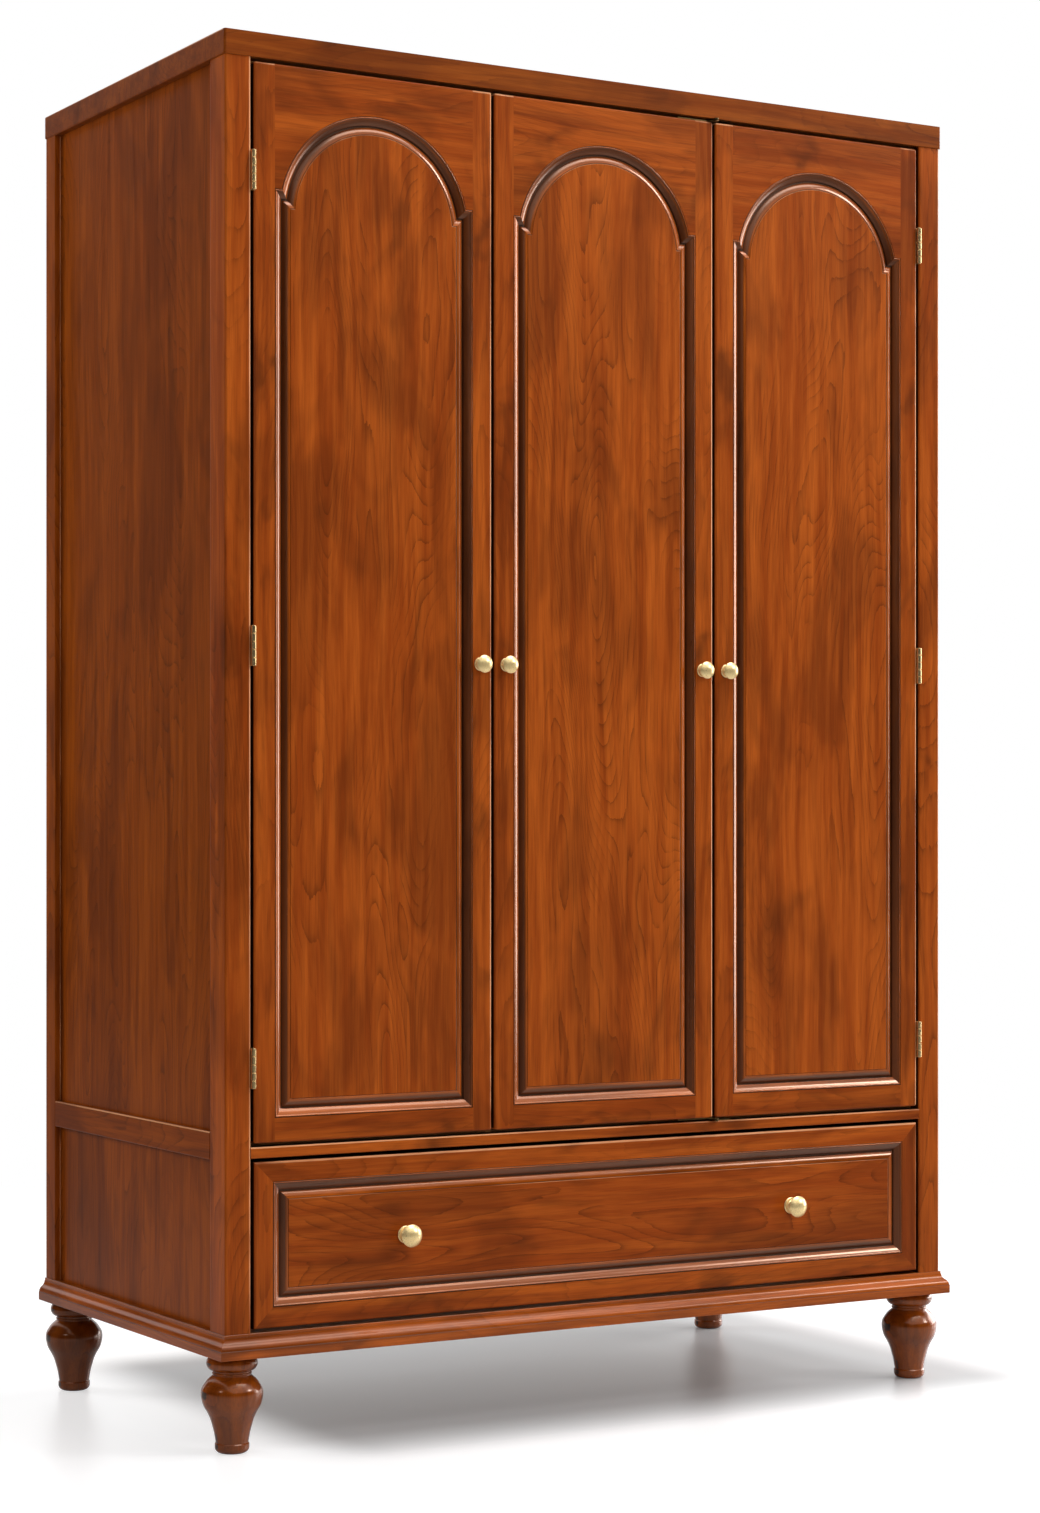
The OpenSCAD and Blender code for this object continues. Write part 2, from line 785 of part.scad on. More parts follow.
module strip_up(x, z0, z1) {
    translate([x, moulding_t, z1]) rotate([180, 0, 0]) linear_extrude(z1 - z0) strip_profile();
}

// Keeps what lies inside a mitred outline
module mitred(outline) {
    intersection() {
        children();
        slab(-1, moulding_t + 1) polygon(outline);
    }
}

// The moulding round an arched panel: sill, sides, shoulders and arch, all mitred.
// The sill and the shoulders are cut short by a hair at each mitre.
module arched_moulding() {
    a = open_half;
    w = moulding_w;
    k = mitre_play;
    inner_arc = sqrt(pow(arch_r - w, 2) - pow(shoulder_z - w - arch_z, 2));
    mitred([[k - a, open_z], [a - k, open_z], [a - w - k, open_z + w], [w - a + k, open_z + w]])
        strip_across(-a, a, open_z);
    both_sides() {
        mitred([[-a, open_z], [w - a, open_z + w], [w - a, shoulder_z - w], [-a, shoulder_z]])
            strip_up(-a, open_z, shoulder_z);
        mitred([[k - a, shoulder_z], [w - a + k, shoulder_z - w], [-inner_arc - k, shoulder_z - w],
            [-chord_half - k, shoulder_z]])
            mirror([0, 0, 1]) strip_across(-a, w - a + shoulder_step, -shoulder_z);
    }
    far = arch_r + 5;
    mitred([[-chord_half, shoulder_z], [-inner_arc, shoulder_z - w], [inner_arc, shoulder_z - w],
        [chord_half, shoulder_z], [far, shoulder_z], [far, crown_z + 5], [-far, crown_z + 5],
        [-far, shoulder_z]])
        translate([0, moulding_t, arch_z]) rotate([90, 0, 0]) rotate_extrude(angle = 180)
            translate([arch_r, 0]) mirror([1, 0]) strip_profile();
}

// Doors

module knob_hole(x, z) {
    translate([x, -eps, z]) rotate([-90, 0, 0]) cylinder(r = stud_r + pin_play, h = stud_l + 1 + eps);
}

// Full-height stiles, with holes for the knobs of the sides that are named
module door_stiles(x, knob_sides) {
    translate([x, 0, 0]) difference() {
        both_sides() for (l = frame_layers) {
            slab(l[0], l[1]) patch([-door_w / 2, door_z], [l[2] - open_half, door_top]);
        }
        for (side = knob_sides) {
            knob_hole(side * (door_w / 2 - door_knob_in), door_knob_z);
        }
    }
}

module door_top_rail(x) {
    translate([x, 0, 0]) for (l = frame_layers) {
        half = open_half - l[2];
        slab(l[0], l[1]) difference() {
            patch([-half, shoulder_z - l[2]], [half, door_top]);
            arch_outline(l[2]);
        }
    }
}

module door_bottom_rail(x) {
    translate([x, 0, 0]) for (l = frame_layers) {
        half = open_half - l[2];
        slab(l[0], l[1]) patch([-half, door_z], [half, open_z + l[2]]);
    }
}

module door_panel(x) {
    translate([x, 0, 0]) {
        slab(field_in, panel_back_y) arch_outline(moulding_w);
        slab(tongue_y, panel_back_y) arch_outline(moulding_w - tongue_w + groove_play);
    }
}

module door_moulding(x) {
    translate([x, 0, 0]) arched_moulding();
}

// Knob: a domed disc on a waisted neck, with a small back plate and a fixing stud
module knob(r, out) {
    rim_z = 0.76 * out;
    rim_t = 1.2;
    back_r = 0.78 * r;
    neck_r = 0.36 * r;
    dome_h = out - rim_z - rim_t;
    dome_r = (pow(r - 0.6, 2) + pow(dome_h, 2)) / (2 * dome_h);
    dome_a = asin((r - 0.6) / dome_r);
    neck_a = 0.22 * out;
    dome = arc([0, out - dome_r], dome_r, 90 - dome_a, 89.9, 8);
    rotate([90, 0, 0]) {
        rotate_extrude() polygon(concat(
            [[0, 0], [back_r - 0.6, 0], [back_r, 0.6], [back_r, 1.6], [back_r - 0.8, 2.4],
                [neck_r + 2, 2.8], [neck_r + 0.4, neck_a], [neck_r, 0.42 * out],
                [neck_r + 1.2, 0.56 * out], [0.62 * r, 0.66 * out], [r - 0.7, rim_z - 0.5],
                [r, rim_z + 0.2], [r, rim_z + rim_t - 0.2]],
            dome, [[0, out]]));
        translate([0, 0, -stud_l]) cylinder(r = stud_r, h = stud_l + eps);
    }
}

module door_knob(x) {
    placed(brass) translate([x, 0, door_knob_z]) knob(door_knob_r, door_knob_out);
}

// Hinges

// One leaf of a butt hinge drawn for the right-hand end of the door opening.
// The pin's axis is the origin, the post lies at +X and the leaf lies on it,
// or on the door's edge when it is mirrored. Knuckles run up from the bottom.
module butt_leaf(first, with_pin) {
    seg = hinge_h / knuckle_count;
    leaf_x = gap / 2 - leaf_t;
    translate([0, 0, -hinge_h / 2]) {
        block([leaf_x, hinge_out + leaf_start, 0], [gap / 2, hinge_out + leaf_d, hinge_h]);
        difference() {
            for (i = [first:2:knuckle_count - 1]) {
                z0 = i * seg + (i == 0 ? 0 : knuckle_gap / 2);
                z1 = (i + 1) * seg - (i == knuckle_count - 1 ? 0 : knuckle_gap / 2);
                translate([0, 0, z0]) cylinder(r = knuckle_r, h = z1 - z0);
                block([leaf_x, 0, z0], [gap / 2, hinge_out + leaf_start + eps, z1]);
            }
            if (!with_pin) {
                translate([0, 0, -eps])
                    cylinder(r = hinge_pin_r + pin_play, h = hinge_h + 2 * eps);
            }
        }
        if (with_pin) {
            cylinder(r = hinge_pin_r, h = hinge_h);
        }
    }
}

module hinge_places() {
    for (z = hinge_z) {
        translate([hinge_x, -hinge_out, z]) children();
    }
}

module post_hinge_leaves() {
    placed(old_brass) both_sides() hinge_places() butt_leaf(0, true);
}

module door_leaves() {
    hinge_places() mirror([1, 0, 0]) butt_leaf(1, false);
}

module left_door_leaves() { placed(old_brass) mirror([1, 0, 0]) door_leaves(); }
module right_door_leaves() { placed(old_brass) door_leaves(); }

// Pivots of the middle door: thin plates in the gaps above and below it,
// with ears that stand just in front of the doors' faces.

// Draws a piece at the top gap and its mirror image at the bottom gap
module at_both_gaps() {
    middle = (ceiling + waist_top) / 2;
    children();
    translate([0, 0, 2 * middle]) mirror([0, 0, 1]) children();
}

module ear() {
    translate([pivot_x, -pivot_out]) circle(ear_r);
}

// The plates fixed to the top board and to the waist rail, with their pins
module pivot_plates() {
    x = pivot_x;
    pin_h = gap - (pivot_plate_t - pivot_arm_t);
    placed(old_brass) at_both_gaps() {
        plan(ceiling - pivot_plate_t, ceiling) {
            ear();
            patch([x - ear_r, -pivot_out], [x + ear_r, pivot_depth]);
            patch([x - ear_r, 2], [x + pivot_plate_l / 2, pivot_depth]);
        }
        translate([x, -pivot_out, ceiling - pin_h]) cylinder(r = pivot_pin_r, h = pin_h);
    }
}

// The arms let on to the middle door's top and bottom edges
module middle_door_pivots() {
    x = pivot_x;
    edge_x = x - gap / 2;
    low = door_top + pivot_plate_t - pivot_arm_t;
    placed(old_brass) at_both_gaps() difference() {
        union() {
            plan(door_top, door_top + pivot_plate_t)
                patch([edge_x - pivot_plate_l, 3], [edge_x, pivot_depth]);
            plan(low, door_top + pivot_plate_t) {
                ear();
                polygon([[x - ear_r, -pivot_out], [x + ear_r, -pivot_out], [x + 1, 6],
                    [edge_x, pivot_depth], [edge_x - 12, pivot_depth], [edge_x - 12, 5]]);
            }
        }
        translate([x, -pivot_out, door_top - eps])
            cylinder(r = pivot_pin_r + pin_play, h = gap);
    }
}

// The three doors, piece by piece

module left_door_stiles() { placed(cherry) door_stiles(left_x, [1]); }
module left_door_top_rail() { placed(cherry) door_top_rail(left_x); }
module left_door_bottom_rail() { placed(cherry) door_bottom_rail(left_x); }
module left_door_panel() { placed(cherry) door_panel(left_x); }
module left_door_moulding() { placed(cherry_dark) door_moulding(left_x); }
module left_door_knob() { door_knob(left_x + door_w / 2 - door_knob_in); }

module middle_door_stiles() { placed(cherry) door_stiles(0, [-1, 1]); }
module middle_door_top_rail() { placed(cherry) door_top_rail(0); }
module middle_door_bottom_rail() { placed(cherry) door_bottom_rail(0); }
module middle_door_panel() { placed(cherry) door_panel(0); }
module middle_door_moulding() { placed(cherry_dark) door_moulding(0); }
module middle_door_knobs() {
    both_sides() door_knob(door_w / 2 - door_knob_in);
}

module right_door_stiles() { placed(cherry) door_stiles(right_x, [-1]); }
module right_door_top_rail() { placed(cherry) door_top_rail(right_x); }
module right_door_bottom_rail() { placed(cherry) door_bottom_rail(right_x); }
module right_door_panel() { placed(cherry) door_panel(right_x); }
module right_door_moulding() { placed(cherry_dark) door_moulding(right_x); }
module right_door_knob() { door_knob(right_x - door_w / 2 + door_knob_in); }

// Drawer

drawer_half = drawer_front_w / 2;
drawer_mid_z = drawer_z + drawer_h / 2;

// A rectangle round the middle of the drawer front, drawn inward by an offset
module drawer_outline(off) {
    patch([off - drawer_half, drawer_z + off], [drawer_half - off, drawer_top - off]);
}

// Frame of the drawer front: four boards mitred at the corners
module drawer_front_frame() {
    h = drawer_half;
    m = drawer_h / 2;
    across = [[-h, drawer_z], [h, drawer_z], [h - m, drawer_mid_z], [m - h, drawer_mid_z]];
    upright = [[-h, drawer_z], [m - h, drawer_mid_z], [-h, drawer_top]];
    placed(cherry) {
        for (outline = [across, upright], side = [0, 1]) {
            flip = side == 0 ? [0, 0, 0] : outline == across ? [0, 0, 1] : [1, 0, 0];
            lift = side == 1 && outline == across ? 2 * drawer_mid_z : 0;
            translate([0, 0, lift]) mirror(flip) for (l = frame_layers) {
                slab(l[0], l[1]) intersection() {
                    polygon(outline);
                    difference() {
                        drawer_outline(0);
                        drawer_outline(drawer_flat + l[2]);
                    }
                }
            }
        }
    }
}

module drawer_front_panel() {
    placed(cherry) difference() {
        union() {
            slab(field_in, panel_back_y) drawer_outline(drawer_flat + moulding_w);
            slab(tongue_y, panel_back_y)
                drawer_outline(drawer_flat + moulding_w - tongue_w + groove_play);
            slab(panel_back_y - eps, door_t) drawer_outline(drawer_flat + moulding_w + seat);
        }
        for (side = [-1, 1]) {
            translate([0, field_in, 0]) knob_hole(side * drawer_knob_x, drawer_knob_z);
        }
    }
}

module drawer_front_moulding() {
    x = drawer_half - drawer_flat;
    z0 = drawer_z + drawer_flat;
    z1 = drawer_top - drawer_flat;
    w = moulding_w;
    placed(cherry_dark) {
        for (side = [0, 1]) {
            translate([0, 0, side * 2 * drawer_mid_z]) mirror([0, 0, side])
                mitred([[-x, z0], [x, z0], [x - w, z0 + w], [w - x, z0 + w]])
                strip_across(-x, x, z0);
        }
        both_sides() mitred([[-x, z0], [w - x, z0 + w], [w - x, z1 - w], [-x, z1]])
            strip_up(-x, z0, z1);
    }
}

module drawer_knobs() {
    placed(brass) for (side = [-1, 1]) {
        translate([side * drawer_knob_x, field_in, drawer_knob_z])
            knob(drawer_knob_r, drawer_knob_out + field_in);
    }
}

// The drawer's box, with its bottom board held in grooves
module drawer_grooves() {
    x = drawer_side_x - drawer_side_t + drawer_groove_d;
    y0 = door_t + drawer_side_t - drawer_groove_d;
    block([-x, y0, bottom_board_z],
        [x, box_end_y - drawer_side_t + drawer_groove_d, bottom_board_z + drawer_bottom_t]);
}

module drawer_sides() {
    placed(inner_wood) difference() {
        both_sides() block([drawer_side_x - drawer_side_t, door_t, box_z],
            [drawer_side_x, box_end_y, box_top]);
        drawer_grooves();
    }
}

module drawer_ends() {
    x = drawer_side_x - drawer_side_t;
    placed(inner_wood) difference() {
        for (y = [door_t, box_end_y - drawer_side_t]) {
            block([-x, y, box_z], [x, y + drawer_side_t, box_top]);
        }
        drawer_grooves();
    }
}

module drawer_bottom() {
    play = groove_play;
    x = drawer_side_x - drawer_side_t + drawer_groove_d - play;
    y0 = door_t + drawer_side_t - drawer_groove_d + play;
    placed(inner_wood) block([-x, y0, bottom_board_z],
        [x, box_end_y - drawer_side_t + drawer_groove_d - play, bottom_board_z + drawer_bottom_t]);
}

top_board();
post_front_left();
post_front_right();
post_back_left();
post_back_right();
side_panels_left();
side_panels_right();
side_rail_left();
side_rail_right();
back_frame();
back_panels();
base_frame();
base_moulding();
foot_front_left();
foot_front_right();
foot_back_left();
foot_back_right();
waist_rail();
floor_board();
divider();
door_stops();
door_catches();
hat_shelf();
shelf_bearers();
hanging_rail();
rail_sockets();
bay_shelves();
shelf_pins();
drawer_runners();
post_hinge_leaves();
pivot_plates();
left_door_stiles();
left_door_top_rail();
left_door_bottom_rail();
left_door_panel();
left_door_moulding();
left_door_knob();
left_door_leaves();
middle_door_stiles();
middle_door_top_rail();
middle_door_bottom_rail();
middle_door_panel();
middle_door_moulding();
middle_door_knobs();
middle_door_pivots();
right_door_stiles();
right_door_top_rail();
right_door_bottom_rail();
right_door_panel();
right_door_moulding();
right_door_knob();
right_door_leaves();
drawer_front_frame();
drawer_front_panel();
drawer_front_moulding();
drawer_knobs();
drawer_sides();
drawer_ends();
drawer_bottom();
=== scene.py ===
"""Looks of a three-door wardrobe with arched raised panels, one wide drawer and turned feet."""

import json
import logging
import math
import random
import zlib
from dataclasses import dataclass, field
from enum import Enum
from typing import Callable

import bmesh
import bpy
from mathutils import Matrix, Vector

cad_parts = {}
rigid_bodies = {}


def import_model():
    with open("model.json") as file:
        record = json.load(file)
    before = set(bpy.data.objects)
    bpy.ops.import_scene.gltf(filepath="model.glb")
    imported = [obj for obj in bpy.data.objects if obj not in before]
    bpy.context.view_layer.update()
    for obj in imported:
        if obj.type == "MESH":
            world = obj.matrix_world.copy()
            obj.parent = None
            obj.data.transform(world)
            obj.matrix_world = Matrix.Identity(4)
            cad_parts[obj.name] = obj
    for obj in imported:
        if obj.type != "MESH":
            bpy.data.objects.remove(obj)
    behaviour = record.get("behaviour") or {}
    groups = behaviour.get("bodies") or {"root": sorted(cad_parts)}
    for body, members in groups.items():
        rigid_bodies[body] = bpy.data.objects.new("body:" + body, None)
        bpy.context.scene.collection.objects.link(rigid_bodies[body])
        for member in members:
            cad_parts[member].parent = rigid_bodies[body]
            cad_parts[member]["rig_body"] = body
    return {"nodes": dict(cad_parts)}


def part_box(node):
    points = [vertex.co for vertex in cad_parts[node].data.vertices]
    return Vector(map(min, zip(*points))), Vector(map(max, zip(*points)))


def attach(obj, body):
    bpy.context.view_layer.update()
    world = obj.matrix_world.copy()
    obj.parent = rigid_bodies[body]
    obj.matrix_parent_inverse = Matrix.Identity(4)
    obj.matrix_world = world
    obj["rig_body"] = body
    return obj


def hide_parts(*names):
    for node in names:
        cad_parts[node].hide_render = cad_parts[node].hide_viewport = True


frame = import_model()

LOG = logging.getLogger("wardrobe")
MM = 0.001
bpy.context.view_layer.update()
NODES = frame["nodes"]

# How near two places count as one, and how near the points of a CAD mesh are welded
NEAR = 0.1 * MM
WELD = 0.01 * MM

# The photograph's height and its horizon, in its own pixels
PHOTO_HEIGHT = 1513
PHOTO_HORIZON_ROW = 818.9

# Ways in the wardrobe's frame
ORIGIN = Vector((0, 0, 0))
UPWARD = Vector((0, 0, 1))
FORWARD = Vector((0, -1, 0))

# How straight a face looks to a side or an edge runs with the fibres, as a cosine
FACING = 0.98
FOLLOWING = 0.99

# How CAD boards are eased: faces that meet at less than the first angle become one, and edges that
# turn by more than the second are rounded, where they are this many times as long as the rounding
FLAT_ANGLE = 0.6
EASED_ANGLE = 40.0
LEAST_EASINGS = 6

# Edges sharper than these, in degrees, stay sharp on joinery and on turned or stamped metal
JOINERY_ANGLE = 32.0
METAL_ANGLE = 40.0

# Where a solid's wood may be taken from, and how much its tone may be off
WOOD_SPREAD = (2, 9)
TONE_SPREAD = 0.05

VALUE = "NodeSocketFloat"
VECTOR = "NodeSocketVector"
GEOMETRY = "NodeSocketGeometry"

Colour = tuple[int, int, int]
Point = tuple[float, float]
SectionRule = Callable[[float, float], float]


class Grain(Enum):
    """The way that a board's fibres run."""

    UP = "up"
    ACROSS = "across"
    DEEP = "deep"
    FRAME = "frame"

    def straighten(self, p: Vector) -> tuple[float, float, float]:
        """Turns a place in the wardrobe into a place in a board whose fibres run up.

        Args:
            p: A point in the wardrobe's own frame.

        Returns:
            The point with the fibres' direction as its third coordinate.
        """
        if self is Grain.ACROSS:
            return (p.z, p.y, p.x)
        if self is Grain.DEEP:
            return (p.z, p.x, p.y)
        return (p.x, p.y, p.z)

    def follows(self, edge: bmesh.types.BMEdge) -> bool:
        """Tells whether an edge runs with the fibres.

        Args:
            edge: The edge.

        Returns:
            Whether it runs their way.
        """
        axis = {Grain.ACROSS: 0, Grain.DEEP: 1}.get(self, 2)
        way = (edge.verts[1].co - edge.verts[0].co).normalized()
        return abs(way[axis]) > FOLLOWING


def share(value: float) -> float:
    """Keeps a value from 0 to 1."""
    return max(0.0, min(1.0, value))


def painted_edge_highlight_share(face: bmesh.types.BMFace) -> float:
    """How much painted highlight an eased edge gets: most where it looks up or to the right.

    Args:
        face: A face of the eased edge.

    Returns:
        The share, from 0 to 1.
    """
    face.normal_update()
    toward = max(face.normal.x, face.normal.z)
    return share((toward - 0.1) / 0.12)


def shaded_share(face: bmesh.types.BMFace) -> float:
    """How much painted shade a slope of a moulding gets: most where it looks left or down."""
    face.normal_update()
    return share((-min(face.normal.x, face.normal.z) - 0.12) / 0.25)


def looks(face: bmesh.types.BMFace, side: str) -> bool:
    """Tells whether a face looks to a side, such as "+x"."""
    face.normal_update()
    return face.normal["xyz".index(side[1])] * (1 if side[0] == "+" else -1) > FACING


def on_rim(edge: bmesh.types.BMEdge, rim: tuple[Vector, Vector]) -> bool:
    """Tells whether an edge lies on the outline of a front, and not on a joint inside it.

    Args:
        edge: The edge.
        rim: The front's box.

    Returns:
        Whether it lies on the box's left, right, lower or upper side.
    """
    middle = (edge.verts[0].co + edge.verts[1].co) / 2
    low, high = rim
    return any(abs(middle[k] - side[k]) < NEAR for k in (0, 2) for side in (low, high))


# Shader node helpers


class Nodes:
    """A short way to add and join the nodes of one shader or geometry tree."""

    def __init__(self, tree: bpy.types.NodeTree) -> None:
        """Keeps the tree that the nodes go into."""
        self.tree = tree

    def add(self, kind: str, values: dict | None = None, **settings: object) -> bpy.types.Node:
        """Adds one node.

        Args:
            kind: Blender's name of the node's type.
            values: Values or sockets for its inputs, by name or number.
            settings: Properties set before the inputs.

        Returns:
            The new node.
        """
        node = self.tree.nodes.new(kind)
        for name, value in settings.items():
            setattr(node, name, value)
        for key, value in (values or {}).items():
            self.feed(node.inputs[key], value)
        return node

    def feed(self, socket: bpy.types.NodeSocket, value: object) -> None:
        """Links a socket to an input, or sets the input's value.

        Args:
            socket: The input.
            value: An output socket, or a plain value.
        """
        if isinstance(value, bpy.types.NodeSocket):
            self.tree.links.new(value, socket)
        else:
            socket.default_value = value

    def math(self, operation: str, a: object, b: object = 0.0) -> bpy.types.NodeSocket:
        """Adds a Math node of two inputs and returns its result's socket."""
        return self.add("ShaderNodeMath", {0: a, 1: b}, operation=operation).outputs[0]

    def vector(self, operation: str, a: object, b: object = (0.0, 0.0, 0.0)) -> bpy.types.NodeSocket:
        """Adds a Vector Math node of two vectors and returns its result's socket."""
        return self.add("ShaderNodeVectorMath", {0: a, 1: b}, operation=operation).outputs[0]

    def scaled(self, vector: object, size: object) -> bpy.types.NodeSocket:
        """Multiplies a vector by three numbers and returns the result's socket."""
        return self.vector("MULTIPLY", vector, size)

    def grown(self, vector: object, factor: object) -> bpy.types.NodeSocket:
        """Multiplies a vector by one number and returns the result's socket."""
        return self.add("ShaderNodeVectorMath", {0: vector, "Scale": factor}, operation="SCALE").outputs[0]

    def noise(self, vector: object, detail: float, rough: float = 0.5, warp: float = 0.0) -> bpy.types.Node:
        """Adds a noise texture of scale 1 and returns the node."""
        return self.add("ShaderNodeTexNoise", {"Vector": vector, "Scale": 1.0, "Detail": detail,
                                               "Roughness": rough, "Distortion": warp})

    def mottle(self, vector: object, size: tuple[float, float, float], detail: float, rough: float = 0.5,
               warp: float = 0.0) -> bpy.types.NodeSocket:
        """Adds a noise texture stretched by three sizes and returns its value's socket."""
        return self.noise(self.scaled(vector, size), detail, rough, warp).outputs["Fac"]

    def fade(self, value: object, low: object, high: object) -> bpy.types.NodeSocket:
        """Maps a value smoothly from 0 at low to 1 at high and returns the result's socket."""
        return self.add("ShaderNodeMapRange", {"Value": value, "From Min": low, "From Max": high},
                        interpolation_type="SMOOTHSTEP").outputs["Result"]

    def blend(self, amount: object, a: object, b: object) -> bpy.types.NodeSocket:
        """Mixes two colours by the second one's share and returns the mixed colour's socket."""
        return self.add("ShaderNodeMix", {0: amount, 6: a, 7: b}, data_type="RGBA").outputs[2]

    def layer(self, name: str, output: str = "Fac") -> bpy.types.NodeSocket:
        """Reads one of the mesh's own layers and returns its socket."""
        return self.add("ShaderNodeAttribute", attribute_name=name).outputs[output]

    def place(self) -> bpy.types.NodeSocket:
        """Returns the socket of a point's place in its object."""
        return self.add("ShaderNodeTexCoord").outputs["Object"]

    def bump(self, strength: float, distance: float, height: object) -> bpy.types.NodeSocket:
        """Adds a Bump node with its distance in millimetres and returns the normal's socket."""
        return self.add("ShaderNodeBump", {"Strength": strength, "Distance": distance * MM,
                                           "Height": height}).outputs["Normal"]

    def surface(self, values: dict) -> None:
        """Adds a Principled shader with the given inputs and joins it to the material's output."""
        shader = self.add("ShaderNodeBsdfPrincipled", values)
        self.add("ShaderNodeOutputMaterial", {"Surface": shader.outputs[0]})

    def store(self, geometry: object, name: str, value: object, kind: str) -> bpy.types.NodeSocket:
        """Adds a Store Named Attribute node.

        Args:
            geometry: The geometry to mark.
            name: The attribute's name.
            value: Its value.
            kind: Its data type.

        Returns:
            The marked geometry's socket.
        """
        node = self.add("GeometryNodeStoreNamedAttribute", {"Geometry": geometry, "Name": name},
                        data_type=kind, domain="POINT")
        self.feed(active(node.inputs, "Value"), value)
        return node.outputs[0]

    def read(self, name: str, kind: str) -> bpy.types.NodeSocket:
        """Adds a Named Attribute node and returns its value's socket."""
        node = self.add("GeometryNodeInputNamedAttribute", {"Name": name}, data_type=kind)
        return active(node.outputs, "Attribute")

    def close(self, geometry: object, material: object) -> None:
        """Ends a geometry tree: realizes its instances and sets its material.

        Args:
            geometry: The geometry's socket.
            material: The material's socket.
        """
        real = self.add("GeometryNodeRealizeInstances", {"Geometry": geometry}).outputs[0]
        done = self.add("GeometryNodeSetMaterial", {"Geometry": real, "Material": material}).outputs[0]
        self.add("NodeGroupOutput", {0: done})


def active(sockets: object, name: str) -> bpy.types.NodeSocket:
    """Finds the socket of a name that a node's data type has switched on."""
    return next(s for s in sockets if s.name == name and s.enabled)


def new_material(name: str) -> tuple[bpy.types.Material, Nodes]:
    """Makes a material without nodes.

    Args:
        name: The material's name.

    Returns:
        The material and the helper that adds its nodes.
    """
    material = bpy.data.materials.new(name)
    material.use_nodes = True
    material.node_tree.nodes.clear()
    return material, Nodes(material.node_tree)


def linear(red: int, green: int, blue: int) -> tuple[float, float, float, float]:
    """Turns a screen colour from 0 to 255 into the linear colour that shaders take.

    Args:
        red: Red on screen.
        green: Green on screen.
        blue: Blue on screen.

    Returns:
        The linear colour with full alpha.
    """
    parts = [c / 255 for c in (red, green, blue)]
    low_end = 0.04045
    curve = [c / 12.92 if c <= low_end else ((c + 0.055) / 1.055) ** 2.4 for c in parts]
    return (*curve, 1.0)


def group_tree(name: str, inputs: dict[str, str], outputs: dict[str, str]) -> bpy.types.NodeTree:
    """Makes an empty shader node group with named sockets.

    Args:
        name: The group's name.
        inputs: Each input's name and socket type.
        outputs: Each output's name and socket type.

    Returns:
        The group.
    """
    tree = bpy.data.node_groups.new(name, "ShaderNodeTree")
    for socket, kind in inputs.items():
        tree.interface.new_socket(socket, in_out="INPUT", socket_type=kind)
    for socket, kind in outputs.items():
        tree.interface.new_socket(socket, in_out="OUTPUT", socket_type=kind)
    return tree


def timber_figure_group() -> bpy.types.NodeTree:
    """Builds the shared group that draws the wood's figure: growth lines, streaks, clouds and pores.

    Returns:
        The node group.
    """
    tree = group_tree("timber_figure",
                      {"Board": VECTOR, "Figure size": VALUE, "Ring count": VALUE},
                      {"Line": VALUE, "Streak": VALUE, "Cloud": VALUE, "Vein": VALUE, "Fibre": VALUE,
                       "Height": VALUE})
    n = Nodes(tree)
    inside = n.add("NodeGroupInput")
    board = inside.outputs["Board"]
    sized = n.grown(board, inside.outputs["Figure size"])
    sway = n.noise(n.scaled(sized, (7.0, 7.0, 2.2)), 2.0).outputs["Color"]
    shift = n.vector("SUBTRACT", sway, (0.5, 0.5, 0.5))
    bent = n.vector("ADD", sized, n.scaled(shift, (0.04, 0.04, 0.12)))
    ragged = n.mottle(board, (210.0, 210.0, 22.0), 3.0, 0.6)
    rings = n.mottle(bent, (6.5, 6.5, 1.2), 1.5, 0.40)
    counted = n.math("MULTIPLY", rings, inside.outputs["Ring count"])
    phase = n.math("FRACT", n.math("ADD", counted, n.math("MULTIPLY", ragged, 0.3)))
    thin = n.math("POWER", phase, 6.0)
    soft = n.math("MULTIPLY", n.math("POWER", phase, 1.6), 0.34)
    patchy = n.fade(n.mottle(board, (9.0, 9.0, 2.2), 1.0), 0.34, 0.54)
    broken = n.fade(n.mottle(board, (80.0, 80.0, 12.0), 3.0), 0.32, 0.54)
    line = n.math("MULTIPLY", n.math("MULTIPLY", n.math("MAXIMUM", thin, soft), patchy), broken)
    streak = n.mottle(bent, (70.0, 70.0, 2.4), 5.0, 0.62)
    vein = n.fade(n.mottle(bent, (46.0, 46.0, 2.0), 5.0, 0.68, 0.15), 0.52, 0.70)
    cloud = n.mottle(board, (9.0, 9.0, 3.4), 3.0, 0.6, 0.5)
    fibre = n.mottle(board, (620.0, 620.0, 14.0), 2.0, 0.6)
    height = n.math("SUBTRACT", n.math("MULTIPLY", fibre, 0.6), n.math("MULTIPLY", line, 0.5))
    out = {"Line": line, "Streak": streak, "Cloud": cloud, "Vein": vein, "Fibre": fibre, "Height": height}
    n.add("NodeGroupOutput", out)
    return tree


def burnish_group() -> bpy.types.NodeTree:
    """Builds the shared group that masks the smoky patches that a finisher rubs in.

    Returns:
        The node group.
    """
    tree = group_tree("burnish", {"Board": VECTOR, "Patch length": VALUE, "Cover": VALUE}, {"Smoke": VALUE})
    n = Nodes(tree)
    inside = n.add("NodeGroupInput")
    per_length = n.math("DIVIDE", 1.0, inside.outputs["Patch length"])
    spread = n.add("ShaderNodeCombineXYZ", {"X": 14.0, "Y": 14.0, "Z": per_length}).outputs[0]
    soft = n.noise(n.scaled(inside.outputs["Board"], spread), 2.5, 0.55, 0.6).outputs["Fac"]
    edge = n.math("SUBTRACT", 1.0, inside.outputs["Cover"])
    smoke = n.fade(soft, edge, n.math("ADD", edge, 0.22))
    n.add("NodeGroupOutput", {"Smoke": smoke})
    return tree


